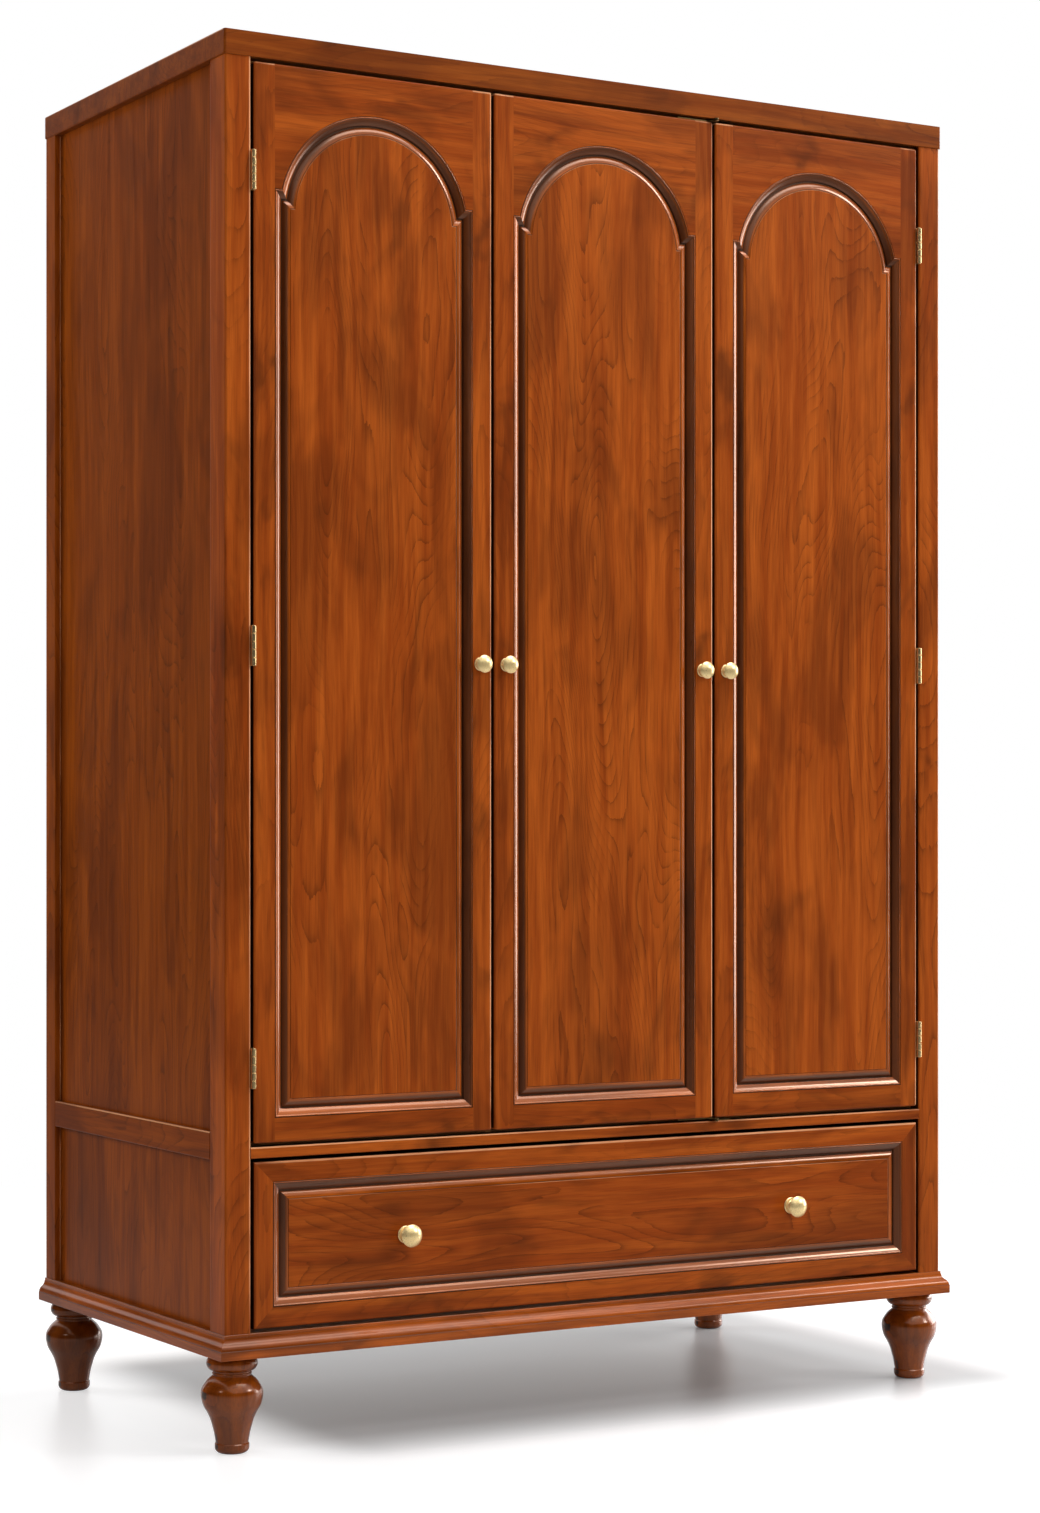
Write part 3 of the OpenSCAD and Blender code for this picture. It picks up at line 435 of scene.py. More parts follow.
@dataclass(frozen=True)
class WoodFinish:
    """A stained and lacquered wood, with its figure and smoky patches."""

    name: str
    slot: str
    deep: Colour = (78, 30, 9)
    body: Colour = (154, 67, 17)
    glow: Colour = (188, 92, 27)
    smoke_colour: Colour = (58, 26, 10)
    figure_size: float = 1.0
    ring_count: float = 42.0
    line_colour: Colour = (74, 31, 9)
    line_depth: float = 0.6
    vein_depth: float = 0.4
    smoke: float = 0.45
    smoke_cover: float = 0.42
    smoke_length: float = 0.16
    roughness: float = 0.30
    gloss: float = 0.15
    relief: float = 0.10
    # The next two set the pale painted highlight on eased edges that look up or to the right.
    edge_highlight_strength: float = 0.8
    edge_highlight_colour: Colour = (234, 168, 120)
    # The colour of the painted shade in gaps, creases and on slopes that look left or down.
    painted_shade_colour: Colour = (24, 9, 3)
    sheen_tint: tuple[float, float, float, float] = (1.0, 0.74, 0.60, 1.0)

    def build(self, figure: bpy.types.NodeTree, burnish: bpy.types.NodeTree) -> bpy.types.Material:
        """Makes the material.

        Args:
            figure: The shared figure group.
            burnish: The shared smoky patch group.

        Returns:
            The material.
        """
        material, n = new_material(self.name)
        board = n.layer("board", "Vector")
        # Two painted layers of the mesh: a pale highlight on edges that look up or right, and shade in gaps,
        # creases and on slopes that look left or down.
        worn, glaze = n.layer("worn"), n.layer("glaze")
        wood = n.add("ShaderNodeGroup", node_tree=figure)
        rub = n.add("ShaderNodeGroup", node_tree=burnish)
        for group, values in (
                (wood, {"Board": board, "Figure size": self.figure_size, "Ring count": self.ring_count}),
                (rub, {"Board": board, "Patch length": self.smoke_length, "Cover": self.smoke_cover})):
            for key, value in values.items():
                n.feed(group.inputs[key], value)
        shade = n.math("ADD", wood.outputs["Streak"], n.layer("tone"))
        colour = n.blend(n.fade(shade, 0.32, 0.70), linear(*self.body), linear(*self.glow))
        # The painted edge highlight, broken up by the clouds of the figure.
        painted_highlight = n.math("MULTIPLY", worn, n.fade(wood.outputs["Cloud"], 0.30, 0.55))
        masks = [
            (n.fade(wood.outputs["Cloud"], 0.56, 0.36), 0.42, self.deep),
            (wood.outputs["Vein"], self.vein_depth, self.deep),
            (rub.outputs["Smoke"], self.smoke, self.smoke_colour),
            (wood.outputs["Line"], self.line_depth, self.line_colour),
            # Painted highlight.
            (painted_highlight, self.edge_highlight_strength, self.edge_highlight_colour),
            (n.fade(wood.outputs["Fibre"], 0.58, 0.30), 0.22, self.deep),
            # Painted shade.
            (glaze, 0.94, self.painted_shade_colour),
        ]
        for mask, strength, tint in masks:
            colour = n.blend(n.math("MULTIPLY", mask, strength), colour, linear(*tint))
        rough = n.math("ADD", n.math("MULTIPLY", wood.outputs["Streak"], 0.10), self.roughness - 0.05)
        rough = n.math("ADD", rough, n.math("MULTIPLY", glaze, 0.15))
        n.surface({"Base Color": colour, "Roughness": rough, "Specular IOR Level": self.gloss,
                   "Specular Tint": self.sheen_tint,
                   "Normal": n.bump(self.relief, 0.4, wood.outputs["Height"])})
        return material


@dataclass(frozen=True)
class MetalFinish:
    """A lacquered, plated or antiqued metal."""

    name: str
    slot: str
    bright: Colour
    dull: Colour
    roughness: float = 0.22
    tarnish: float = 0.3
    metallic: float = 1.0

    def build(self) -> bpy.types.Material:
        """Makes the material.

        Returns:
            The material.
        """
        material, n = new_material(self.name)
        stain = n.mottle(n.place(), (140.0, 140.0, 140.0), 3.0)
        rub = n.mottle(n.place(), (900.0, 900.0, 900.0), 2.0)
        amount = n.math("MULTIPLY", n.fade(stain, 0.42, 0.68), self.tarnish)
        colour = n.blend(amount, linear(*self.bright), linear(*self.dull))
        rough = n.math("ADD", n.math("MULTIPLY", rub, 0.12), self.roughness - 0.06)
        n.surface({"Base Color": colour, "Metallic": self.metallic, "Roughness": rough,
                   "Normal": n.bump(0.006, 0.1, rub)})
        return material


@dataclass(frozen=True)
class PlasticFinish:
    """A moulded plastic with a fine grain."""

    name: str
    slot: str
    light: Colour
    dark: Colour

    def build(self) -> bpy.types.Material:
        """Makes the material.

        Returns:
            The material.
        """
        material, n = new_material(self.name)
        grain = n.mottle(n.place(), (1500.0, 1500.0, 1500.0), 2.0)
        yellowing = n.mottle(n.place(), (30.0, 30.0, 30.0), 2.0)
        colour = n.blend(n.fade(yellowing, 0.35, 0.7), linear(*self.light), linear(*self.dark))
        rough = n.math("ADD", n.math("MULTIPLY", grain, 0.1), 0.4)
        n.surface({"Base Color": colour, "Roughness": rough, "Normal": n.bump(0.2, 0.05, grain)})
        return material


class Palette:
    """Every finish of the wardrobe, built once and found by its record slot."""

    def __init__(self) -> None:
        """Builds the shared groups and all materials."""
        figure = timber_figure_group()
        burnish = burnish_group()
        woods = [
            WoodFinish("cherry_top_board", "cherry_top", body=(130, 59, 14), glow=(155, 78, 21), smoke=0.5,
                       smoke_cover=0.46),
            WoodFinish("cherry_posts", "cherry_post", smoke=0.55, smoke_cover=0.42, smoke_length=0.12),
            WoodFinish("cherry_frames", "cherry_frame", smoke=0.58, smoke_cover=0.45, smoke_length=0.12,
                       line_depth=0.35),
            WoodFinish("cherry_panels", "cherry_panel", smoke=0.48, smoke_cover=0.43, smoke_length=0.22,
                       vein_depth=0.2, line_depth=0.62, ring_count=60.0),
            WoodFinish("cherry_sides", "cherry_side", body=(136, 61, 10), glow=(160, 77, 15),
                       smoke=0.38, smoke_length=0.2, gloss=0.08),
            WoodFinish("cherry_moulding", "cherry_moulding", body=(142, 66, 12), smoke=0.4, roughness=0.17,
                       gloss=0.95, line_depth=0.3, sheen_tint=(1.0, 0.65, 0.47, 1.0)),
            WoodFinish("cherry_base", "cherry_base", body=(142, 64, 10), smoke=0.5, roughness=0.22,
                       gloss=0.42, line_depth=0.3),
            WoodFinish("cherry_feet", "cherry_foot", deep=(60, 26, 6), body=(128, 56, 6), glow=(154, 73, 9),
                       smoke_colour=(56, 26, 10), roughness=0.19, gloss=0.7),
            WoodFinish("inner_boards", "inner_wood", deep=(136, 84, 46), body=(190, 130, 80),
                       glow=(208, 152, 100), smoke_colour=(152, 98, 58), line_colour=(120, 80, 46),
                       smoke=0.25, smoke_length=0.3, line_depth=0.5, roughness=0.42, gloss=0.3, relief=0.2),
        ]
        metals = [
            MetalFinish("knob_brass_satin", "knob_brass", (255, 226, 162), (232, 188, 114), 0.29, 0.2, 0.55),
            MetalFinish("hinge_brass_aged", "hinge_brass", (236, 204, 146), (176, 142, 88), 0.22, 0.2, 0.85),
            MetalFinish("pivot_brass_dark", "pivot_brass", (112, 90, 56), (74, 58, 36), 0.38, 0.5),
            MetalFinish("rail_chrome", "rail_steel", (208, 210, 214), (170, 172, 178), 0.14, 0.2),
        ]
        self.materials: dict[str, bpy.types.Material] = {}
        for wood in woods:
            self.materials[wood.slot] = wood.build(figure, burnish)
        for metal in metals:
            self.materials[metal.slot] = metal.build()
        catch = PlasticFinish("catch_case", "catch_plastic", (232, 226, 212), (218, 208, 186))
        self.materials[catch.slot] = catch.build()

    def of(self, slot: str) -> bpy.types.Material:
        """Finds the material of a record slot."""
        return self.materials[slot]


# Outlines and sections


def arc(centre: Point, radius: float, start: float, end: float, count: int) -> list[Point]:
    """Points along an arc.

    Args:
        centre: The arc's centre.
        radius: Its radius.
        start: The first angle, in degrees.
        end: The last angle, in degrees.
        count: How many steps it is cut into.

    Returns:
        The points, both ends included.
    """
    angles = [math.radians(start + (end - start) * i / count) for i in range(count + 1)]
    return [(centre[0] + radius * math.cos(a), centre[1] + radius * math.sin(a)) for a in angles]


def quarter_fall(x: float, top: float, width: float, drop: float, start: float, count: int) -> list[Point]:
    """A round that falls more and more steeply, as the face of a moulding does.

    Args:
        x: Where it starts.
        top: Its height there.
        width: How far it runs.
        drop: How far it falls.
        start: How steeply it starts, in degrees.
        count: How many steps it is cut into.

    Returns:
        The points from the top of the round to its foot.
    """
    first = math.radians(start)
    last = 2 * math.atan2(drop, width) - first
    radius = width / (math.sin(last) - math.sin(first))
    centre = (x - radius * math.sin(first), top - radius * math.cos(first))
    return arc(centre, radius, 90 - start, 90 - math.degrees(last), count)


def flowing(points: list[Point], steps: int) -> list[Point]:
    """A smooth line through a list of points.

    Args:
        points: The points that it passes.
        steps: How many pieces each stretch is cut into.

    Returns:
        The line's points.
    """
    line = []
    for i in range(len(points) - 1):
        a, b = points[max(i - 1, 0)], points[i]
        c, d = points[i + 1], points[min(i + 2, len(points) - 1)]
        for j in range(steps):
            t = j / steps
            line.append(tuple(
                0.5 * (2 * b[k] + (c[k] - a[k]) * t + (2 * a[k] - 5 * b[k] + 4 * c[k] - d[k]) * t * t
                       + (3 * b[k] - a[k] - 3 * c[k] + d[k]) * t ** 3) for k in (0, 1)))
    return [*line, points[-1]]


@dataclass
class Run:
    """The way that a section is carried: a start, a reach and a rise for each place on it."""

    starts: list[Vector]
    reaches: list[Vector]
    rises: list[Vector]
    closed: bool = False
    travels: list[float] = field(default_factory=list)

    @classmethod
    def turned(cls, centre: Vector, axis: Vector, count: int) -> "Run":
        """A run that turns a section round an axis, as a lathe does.

        Args:
            centre: Where the axis starts.
            axis: The axis, of length 1.
            count: How many steps the circle is cut into.

        Returns:
            The run.
        """
        side = axis.orthogonal().normalized()
        other = axis.cross(side)
        spokes = [side * math.cos(2 * math.pi * i / count) + other * math.sin(2 * math.pi * i / count)
                  for i in range(count)]
        return cls([centre] * count, spokes, [axis] * count, True)

    @classmethod
    def strip(cls, ends: list[tuple[Vector, Vector]], rise: Vector, width: float) -> "Run":
        """A run along a strip that is given by its outer and inner points.

        Args:
            ends: For each place, the point on the outer edge and the one on the inner edge.
            rise: The way that the section's height points.
            width: How far apart the two edges are in the section's own measure.

        Returns:
            The run.
        """
        travels = [0.0]
        for (a, b), (c, d) in zip(ends, ends[1:]):
            travels.append(travels[-1] + ((c + d) / 2 - (a + b) / 2).length)
        reaches = [(b - a) / width for a, b in ends]
        return cls([a for a, _ in ends], reaches, [rise] * len(ends), False, travels)


def hang(name: str, data: object) -> bpy.types.Object:
    """Makes an object.

    Args:
        name: Its name.
        data: Its mesh, light or camera.

    Returns:
        The object, which is in the scene.
    """
    made = bpy.data.objects.new(name, data)
    bpy.context.scene.collection.objects.link(made)
    return made


def geometry_tree(name: str, inputs: dict[str, str]) -> tuple[bpy.types.NodeTree, dict[str, str]]:
    """Makes an empty geometry tree with named inputs and one geometry output.

    Args:
        name: The tree's name.
        inputs: Each input's name and socket type.

    Returns:
        The tree, and each input's identifier by its name.
    """
    tree = bpy.data.node_groups.new(name, "GeometryNodeTree")
    ids = {}
    for socket, kind in inputs.items():
        ids[socket] = tree.interface.new_socket(socket, in_out="INPUT", socket_type=kind).identifier
    tree.interface.new_socket("Geometry", in_out="OUTPUT", socket_type=GEOMETRY)
    return tree, ids


def apply_tree(tree: bpy.types.NodeTree, base: bpy.types.Mesh, held: bpy.types.Mesh,
               values: dict[str, object]) -> bpy.types.Mesh:
    """Runs a geometry tree on one mesh, with a second mesh held by one of its inputs.

    Args:
        tree: The tree.
        base: The mesh that it works on, which is removed.
        held: The second mesh, which is removed.
        values: Each input's value by its identifier, or None for the input that holds the mesh.

    Returns:
        The mesh that the tree makes.
    """
    holder = hang(held.name, held)
    carried = hang(base.name, base)
    modifier = carried.modifiers.new(tree.name, "NODES")
    modifier.node_group = tree
    for identifier, value in values.items():
        modifier[identifier] = holder if value is None else value
    mesh = bake(carried)
    bpy.data.objects.remove(holder)
    bpy.data.meshes.remove(held)
    return mesh


def chain(count: int, closed: bool) -> list[tuple[int, int]]:
    """Joins each point to the next one, and the last to the first where the line is closed."""
    return [(i, i + 1) for i in range(count - 1)] + ([(count - 1, 0)] if closed else [])


class SectionTree:
    """The geometry tree that carries a section along a run, and the run's mesh made from it."""

    def __init__(self) -> None:
        """Builds the tree once."""
        self.tree, self.ids = geometry_tree("section_along_run", {
            "Run": GEOMETRY, "Section": "NodeSocketObject", "Capped": "NodeSocketBool",
            "Weld distance": VALUE, "Material": "NodeSocketMaterial"})
        n = Nodes(self.tree)
        inside = n.add("NodeGroupInput")
        place = n.add("GeometryNodeInputPosition").outputs[0]
        kept = n.store(inside.outputs["Run"], "start", place, "FLOAT_VECTOR")
        path = n.add("GeometryNodeMeshToCurve", {"Mesh": kept}).outputs[0]
        found = n.add("GeometryNodeObjectInfo", {"Object": inside.outputs["Section"]})
        split = n.add("ShaderNodeSeparateXYZ", {0: n.add("GeometryNodeInputPosition").outputs[0]})
        marked = n.store(found.outputs["Geometry"], "offset", split.outputs[0], "FLOAT")
        marked = n.store(marked, "height", split.outputs[1], "FLOAT")
        outline = n.add("GeometryNodeMeshToCurve", {"Mesh": marked}).outputs[0]
        swept = n.add("GeometryNodeCurveToMesh", {"Curve": path, "Profile Curve": outline,
                                                  "Fill Caps": inside.outputs["Capped"]}).outputs[0]
        offset, height = n.read("offset", "FLOAT"), n.read("height", "FLOAT")
        reach = n.grown(n.read("reach", "FLOAT_VECTOR"), offset)
        rise = n.grown(n.read("rise", "FLOAT_VECTOR"), height)
        target = n.vector("ADD", n.read("start", "FLOAT_VECTOR"), n.vector("ADD", reach, rise))
        moved = n.add("GeometryNodeSetPosition", {"Geometry": swept, "Position": target}).outputs[0]
        straight = n.add("ShaderNodeCombineXYZ", {0: offset, 1: height, 2: n.read("travel", "FLOAT")})
        moved = n.store(moved, "board", straight.outputs[0], "FLOAT_VECTOR")
        welded = n.add("GeometryNodeMergeByDistance", {"Geometry": moved,
                                                       "Distance": inside.outputs["Weld distance"]})
        n.close(welded.outputs[0], inside.outputs["Material"])

    def carry(self, section: list[Point], run: Run, material: bpy.types.Material,
              solid: bool = True) -> bpy.types.Mesh:
        """Carries a section along a run.

        Args:
            section: The section's points, in millimetres: how far it reaches, and its height.
            run: The run.
            material: The finish.
            solid: Whether the section is a closed outline, and not a line from axis to axis.

        Returns:
            The swept mesh.
        """
        outline = bpy.data.meshes.new("section")
        outline.from_pydata([(x * MM, y * MM, 0) for x, y in section], chain(len(section), solid), [])
        path = bpy.data.meshes.new("run")
        steps = len(run.starts)
        path.from_pydata([tuple(p) for p in run.starts], chain(steps, run.closed), [])
        for name, vectors in (("reach", run.reaches), ("rise", run.rises)):
            layer = path.attributes.new(name, "FLOAT_VECTOR", "POINT")
            layer.data.foreach_set("vector", [c for v in vectors for c in v])
        layer = path.attributes.new("travel", "FLOAT", "POINT")
        layer.data.foreach_set("value", run.travels or [0.0] * steps)
        return apply_tree(self.tree, path, outline, {
            self.ids["Section"]: None, self.ids["Capped"]: solid and not run.closed,
            self.ids["Weld distance"]: 0.004 * MM, self.ids["Material"]: material})


class RepeatTree:
    """The geometry tree that sets one small piece at many points, each turned a little its own way."""

    def __init__(self) -> None:
        """Builds the tree once."""
        self.tree, self.ids = geometry_tree("piece_on_points", {
            "Points": GEOMETRY, "Piece": "NodeSocketObject", "Turn spread": VALUE,
            "Seed": "NodeSocketInt", "Material": "NodeSocketMaterial"})
        n = Nodes(self.tree)
        inside = n.add("NodeGroupInput")
        found = n.add("GeometryNodeObjectInfo", {"Object": inside.outputs["Piece"]})
        leaning = n.read("lean", "FLOAT_VECTOR")
        placed = n.add("GeometryNodeInstanceOnPoints", {"Points": inside.outputs["Points"],
                                                        "Instance": found.outputs["Geometry"],
                                                        "Rotation": leaning}).outputs[0]
        least = n.math("MULTIPLY", inside.outputs["Turn spread"], -1.0)
        draw = n.add("FunctionNodeRandomValue", data_type="FLOAT")
        for socket, value in (("Min", least), ("Max", inside.outputs["Turn spread"]),
                              ("Seed", inside.outputs["Seed"])):
            n.feed(active(draw.inputs, socket), value)
        turn = n.add("ShaderNodeCombineXYZ", {"Z": active(draw.outputs, "Value")}).outputs[0]
        turned = n.add("GeometryNodeRotateInstances", {"Instances": placed, "Rotation": turn,
                                                       "Local Space": True})
        n.close(turned.outputs[0], inside.outputs["Material"])

    def repeat(self, piece: bpy.types.Mesh, points: list[tuple[Vector, Matrix]],
               material: bpy.types.Material, spread: float = 0.0, seed: int = 7) -> bpy.types.Mesh:
        """Sets a piece at every point.

        Args:
            piece: The piece's mesh, round its own zero, which is removed.
            points: Where each copy stands and how it leans.
            material: The finish.
            spread: How far each copy may turn round its own upright axis, in radians.
            seed: The seed of the turns.

        Returns:
            The mesh of all copies.
        """
        cloud = bpy.data.meshes.new("points")
        cloud.from_pydata([tuple(p) for p, _ in points], [], [])
        layer = cloud.attributes.new("lean", "FLOAT_VECTOR", "POINT")
        layer.data.foreach_set("vector", [c for _, way in points for c in way.to_euler()])
        return apply_tree(self.tree, cloud, piece, {
            self.ids["Piece"]: None, self.ids["Turn spread"]: spread, self.ids["Seed"]: seed,
            self.ids["Material"]: material})


def bake(obj: bpy.types.Object) -> bpy.types.Mesh:
    """Turns an object with modifiers into a plain mesh, and removes the object.

    Args:
        obj: The object, linked to the scene.

    Returns:
        The plain mesh.
    """
    bpy.context.view_layer.update()
    ready = obj.evaluated_get(bpy.context.evaluated_depsgraph_get())
    mesh = bpy.data.meshes.new_from_object(ready, preserve_all_data_layers=True,
                                           depsgraph=bpy.context.evaluated_depsgraph_get())
    source = obj.data
    bpy.data.objects.remove(obj)
    bpy.data.meshes.remove(source)
    return mesh


def joined(meshes: list[bpy.types.Mesh], name: str) -> bpy.types.Mesh:
    """Puts several meshes into one.

    Args:
        meshes: The meshes, which are removed.
        name: The new mesh's name.

    Returns:
        The mesh that holds them all.
    """
    whole = bmesh.new()
    board = whole.verts.layers.float_vector.new("board")
    # Copies each solid's wood place and its painted edge highlight.
    worn = whole.faces.layers.float.new("worn")
    for mesh in meshes:
        part = bmesh.new()
        part.from_mesh(mesh)
        source = part.verts.layers.float_vector.get("board")
        painted_highlight = part.faces.layers.float.get("worn")
        copies = {}
        for v in part.verts:
            w = whole.verts.new(v.co)
            if source:
                w[board] = v[source]
            copies[v] = w
        for f in part.faces:
            g = whole.faces.new([copies[v] for v in f.verts])
            if painted_highlight:
                g[worn] = f[painted_highlight]
        part.free()
        bpy.data.meshes.remove(mesh)
    return mesh_of(whole, name)


def mesh_of(bm: bmesh.types.BMesh, name: str) -> bpy.types.Mesh:
    """Writes an edited mesh into a new one.

    Args:
        bm: The edited mesh, which is freed.
        name: The new mesh's name.

    Returns:
        The new mesh.
    """
    mesh = bpy.data.meshes.new(name)
    bm.to_mesh(mesh)
    bm.free()
    return mesh


def cad_mesh(node: str) -> bmesh.types.BMesh:
    """Copies a CAD node's mesh for editing.

    Args:
        node: The CAD node.

    Returns:
        The copy, with its points welded.
    """
    bm = bmesh.new()
    bm.from_mesh(NODES[node].data)
    bmesh.ops.remove_doubles(bm, verts=bm.verts, dist=WELD)
    return bm


def ease_edges(bm: bmesh.types.BMesh, edges: list[bmesh.types.BMEdge], width: float, segments: int = 3,
               clamp: bool = False) -> list[bmesh.types.BMFace]:
    """Rounds edges over.

    Args:
        bm: The mesh.
        edges: Its edges.
        width: How wide the eased edges get, in millimetres.
        segments: How many faces each gets.
        clamp: Whether they stop where they would meet.

    Returns:
        The new faces.
    """
    cut = bmesh.ops.bevel(bm, geom=edges, offset=width * MM, offset_type="OFFSET", segments=segments,
                          profile=0.5, affect="EDGES", clamp_overlap=clamp)
    return cut["faces"]


def draw_wood(draw: random.Random) -> tuple[Vector, float]:
    """Draws a solid's own place in the wood, then its tone."""
    return Vector([draw.uniform(*WOOD_SPREAD) for _ in range(3)]), draw.uniform(-TONE_SPREAD, TONE_SPREAD)


def islands(bm: bmesh.types.BMesh) -> list[list[bmesh.types.BMFace]]:
    """Sorts a mesh's faces into its separate solids.

    Args:
        bm: The mesh.

    Returns:
        The faces of each solid.
    """
    left = set(bm.faces)
    groups = []
    for seed in bm.faces:
        if seed not in left:
            continue
        left.discard(seed)
        group, edge = [], [seed]
        while edge:
            f = edge.pop()
            group.append(f)
            for e in f.edges:
                for g in e.link_faces:
                    if g in left:
                        left.discard(g)
                        edge.append(g)
        groups.append(group)
    return groups


@dataclass
class Joiner:
    """Makes the wardrobe's pieces: dressed boards, swept strips and turnings."""

    palette: Palette
    tree: SectionTree

    def finish(self, name: str, mesh: bpy.types.Mesh, slot: str, body: str, nodes: list[str],
               smooth_angle: float = JOINERY_ANGLE) -> bpy.types.Object:
        """Turns a mesh into a piece that rides on its body.

        Args:
            name: The piece's name.
            mesh: Its mesh, in the wardrobe's own frame.
            slot: The record's material slot.
            body: The body that it moves with.
            nodes: The CAD nodes that it stands for.
            smooth_angle: Edges sharper than this angle, in degrees, stay sharp.

        Returns:
            The piece.
        """
        mesh.name = name
        bm = bmesh.new()
        bm.from_mesh(mesh)
        bmesh.ops.recalc_face_normals(bm, faces=bm.faces)
        bm.to_mesh(mesh)
        bm.free()
        mesh.materials.clear()
        mesh.materials.append(self.palette.of(slot))
        mesh.shade_smooth()
        mesh.set_sharp_from_angle(angle=math.radians(smooth_angle))
        mesh = self.flatten_normals(mesh)
        mesh.name = name
        piece = hang(name, mesh)
        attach(piece, body)
        if nodes:
            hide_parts(*nodes)
        LOG.info("%s: %d faces on %s", name, len(mesh.polygons), body)
        return piece

    @staticmethod
    def flatten_normals(mesh: bpy.types.Mesh) -> bpy.types.Mesh:
        """Weights a mesh's normals by face area, so that flat faces look flat up to their eased edges.

        Args:
            mesh: The mesh, which is removed.

        Returns:
            The same mesh with its own normals.
        """
        holder = hang("weighted", mesh)
        weighted = holder.modifiers.new("weighted_normals", "WEIGHTED_NORMAL")
        weighted.mode = "FACE_AREA"
        weighted.weight = 50
        weighted.keep_sharp = True
        return bake(holder)

    def mark_board(self, bm: bmesh.types.BMesh, grain: Grain, name: str) -> None:
        """Writes each solid's own wood coordinates and tone into a mesh.

        Args:
            bm: The mesh.
            grain: The way that the fibres run.
            name: The piece's name, which sets the random offsets.
        """
        draw = random.Random(zlib.crc32(name.encode()))
        board = bm.verts.layers.float_vector.get("board") or bm.verts.layers.float_vector.new("board")
        tone = bm.verts.layers.float.get("tone") or bm.verts.layers.float.new("tone")
        for group in islands(bm):
            verts = {v for f in group for v in f.verts}
            low = [min(v.co[k] for v in verts) for k in range(3)]
            high = [max(v.co[k] for v in verts) for k in range(3)]
            way = grain
            if grain is Grain.FRAME:
                way = Grain.ACROSS if high[0] - low[0] > high[2] - low[2] else Grain.UP
            shift, level = draw_wood(draw)
            for v in verts:
                v[board] = Vector(way.straighten(v.co)) + shift
                v[tone] = level

    def dress(self, node: str, slot: str, grain: Grain, arris: float = 1.2, along: bool = False,
              rim: tuple[Vector, Vector] | None = None, gaps: tuple[str, ...] = ()) -> bpy.types.Object:
        """Makes a board from its CAD node, with eased edges and its own wood coordinates.

        Args:
            node: The CAD node.
            slot: The record's material slot.
            grain: The way that the fibres run.
            arris: How wide the eased edges are, in millimetres.
            along: Whether only the edges along the grain are eased.
            rim: The box whose sides carry the eased edges, where not all are eased.
            gaps: The sides that look into a gap, which get painted shade, such as "+x".

        Returns:
            The piece.
        """
        bm = cad_mesh(node)
        bmesh.ops.dissolve_limit(bm, angle_limit=math.radians(FLAT_ANGLE), verts=bm.verts, edges=bm.edges)
        least = LEAST_EASINGS * arris * MM
        sharp = [e for e in bm.edges if len(e.link_faces) == 2 and e.calc_length() > least
                 and e.calc_face_angle() > math.radians(EASED_ANGLE)]
        if along:
            sharp = [e for e in sharp if grain.follows(e)]
        if rim is not None:
            sharp = [e for e in sharp if on_rim(e, rim)]
        # Eased edges get a pale painted highlight where they look up or right; sides that look into a gap
        # get painted shade.
        worn = bm.faces.layers.float.new("worn")
        if arris > 0:
            for f in ease_edges(bm, sharp, arris):
                f[worn] = painted_edge_highlight_share(f)
        glaze = bm.faces.layers.float.new("glaze")
        for f in bm.faces:
            f[glaze] = float(any(looks(f, side) for side in gaps))
        self.mark_board(bm, grain, node)
        return self.finish(f"{node}_board", mesh_of(bm, node), slot, NODES[node]["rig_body"], [node])

    def shape(self, name: str, solids: list[bpy.types.Mesh], slot: str, node: str, grain: Grain | None,
              smooth_angle: float = JOINERY_ANGLE, painted_shade_rule: SectionRule | None = None,
              painted_highlight: SectionRule | None = None, shaded: float = 0.0) -> bpy.types.Object:
        """Joins finished solids into the piece that stands for a CAD node.

        Args:
            name: The piece's name.
            solids: The solids' meshes.
            slot: The record's material slot.
            node: The CAD node that the piece stands for.
            grain: The way that the fibres run, or None where the strips carry their own.
            smooth_angle: Edges sharper than this angle, in degrees, stay sharp.
            painted_shade_rule: How dark the painted shade lies at a place of a strip's section, in
                millimetres.
            painted_highlight: Where a strip's section gets a pale painted highlight.
            shaded: How much more painted shade lies on slopes that look left or down.

        Returns:
            The piece.
        """
        mesh = joined(solids, name)
        bm = bmesh.new()
        bm.from_mesh(mesh)
        bmesh.ops.recalc_face_normals(bm, faces=bm.faces)
        self.mark_painted_shade(bm, painted_shade_rule, painted_highlight, shaded)
        if grain is not None:
            self.mark_board(bm, grain, name)
        else:
            self.offset_strips(bm, name)
        bm.to_mesh(mesh)
        bm.free()
        return self.finish(name, mesh, slot, NODES[node]["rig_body"], [node], smooth_angle)

    @staticmethod
    def mark_painted_shade(bm: bmesh.types.BMesh, rule: SectionRule | None, painted_highlight: SectionRule | None,
                   shaded: float) -> None:
        """Writes the painted shade on each face, by the section of a strip or on a board's edges, and a
        strip's painted highlight.

        Args:
            bm: The mesh.
            rule: The strip's rule, or None for a flat board.
            painted_highlight: Where the strip's section gets a pale painted highlight, or None for nowhere.
            shaded: How much more painted shade lies on slopes that look left or down.
        """
        board = bm.verts.layers.float_vector.get("board")
        glaze = bm.faces.layers.float.new("glaze")
        worn = bm.faces.layers.float.get("worn")
        for f in bm.faces:
            # Board faces that look sideways, up or down get full painted shade.
            if rule is None:
                f.normal_update()
                f[glaze] = float(max(abs(f.normal.x), abs(f.normal.z)) > FACING)
            else:
                x, y = (sum(v[board][k] for v in f.verts) / len(f.verts) / MM for k in (0, 1))
                f[glaze] = max(rule(x, y), shaded * shaded_share(f))
                if painted_highlight is not None:
                    f[worn] = painted_highlight(x, y) * painted_edge_highlight_share(f)

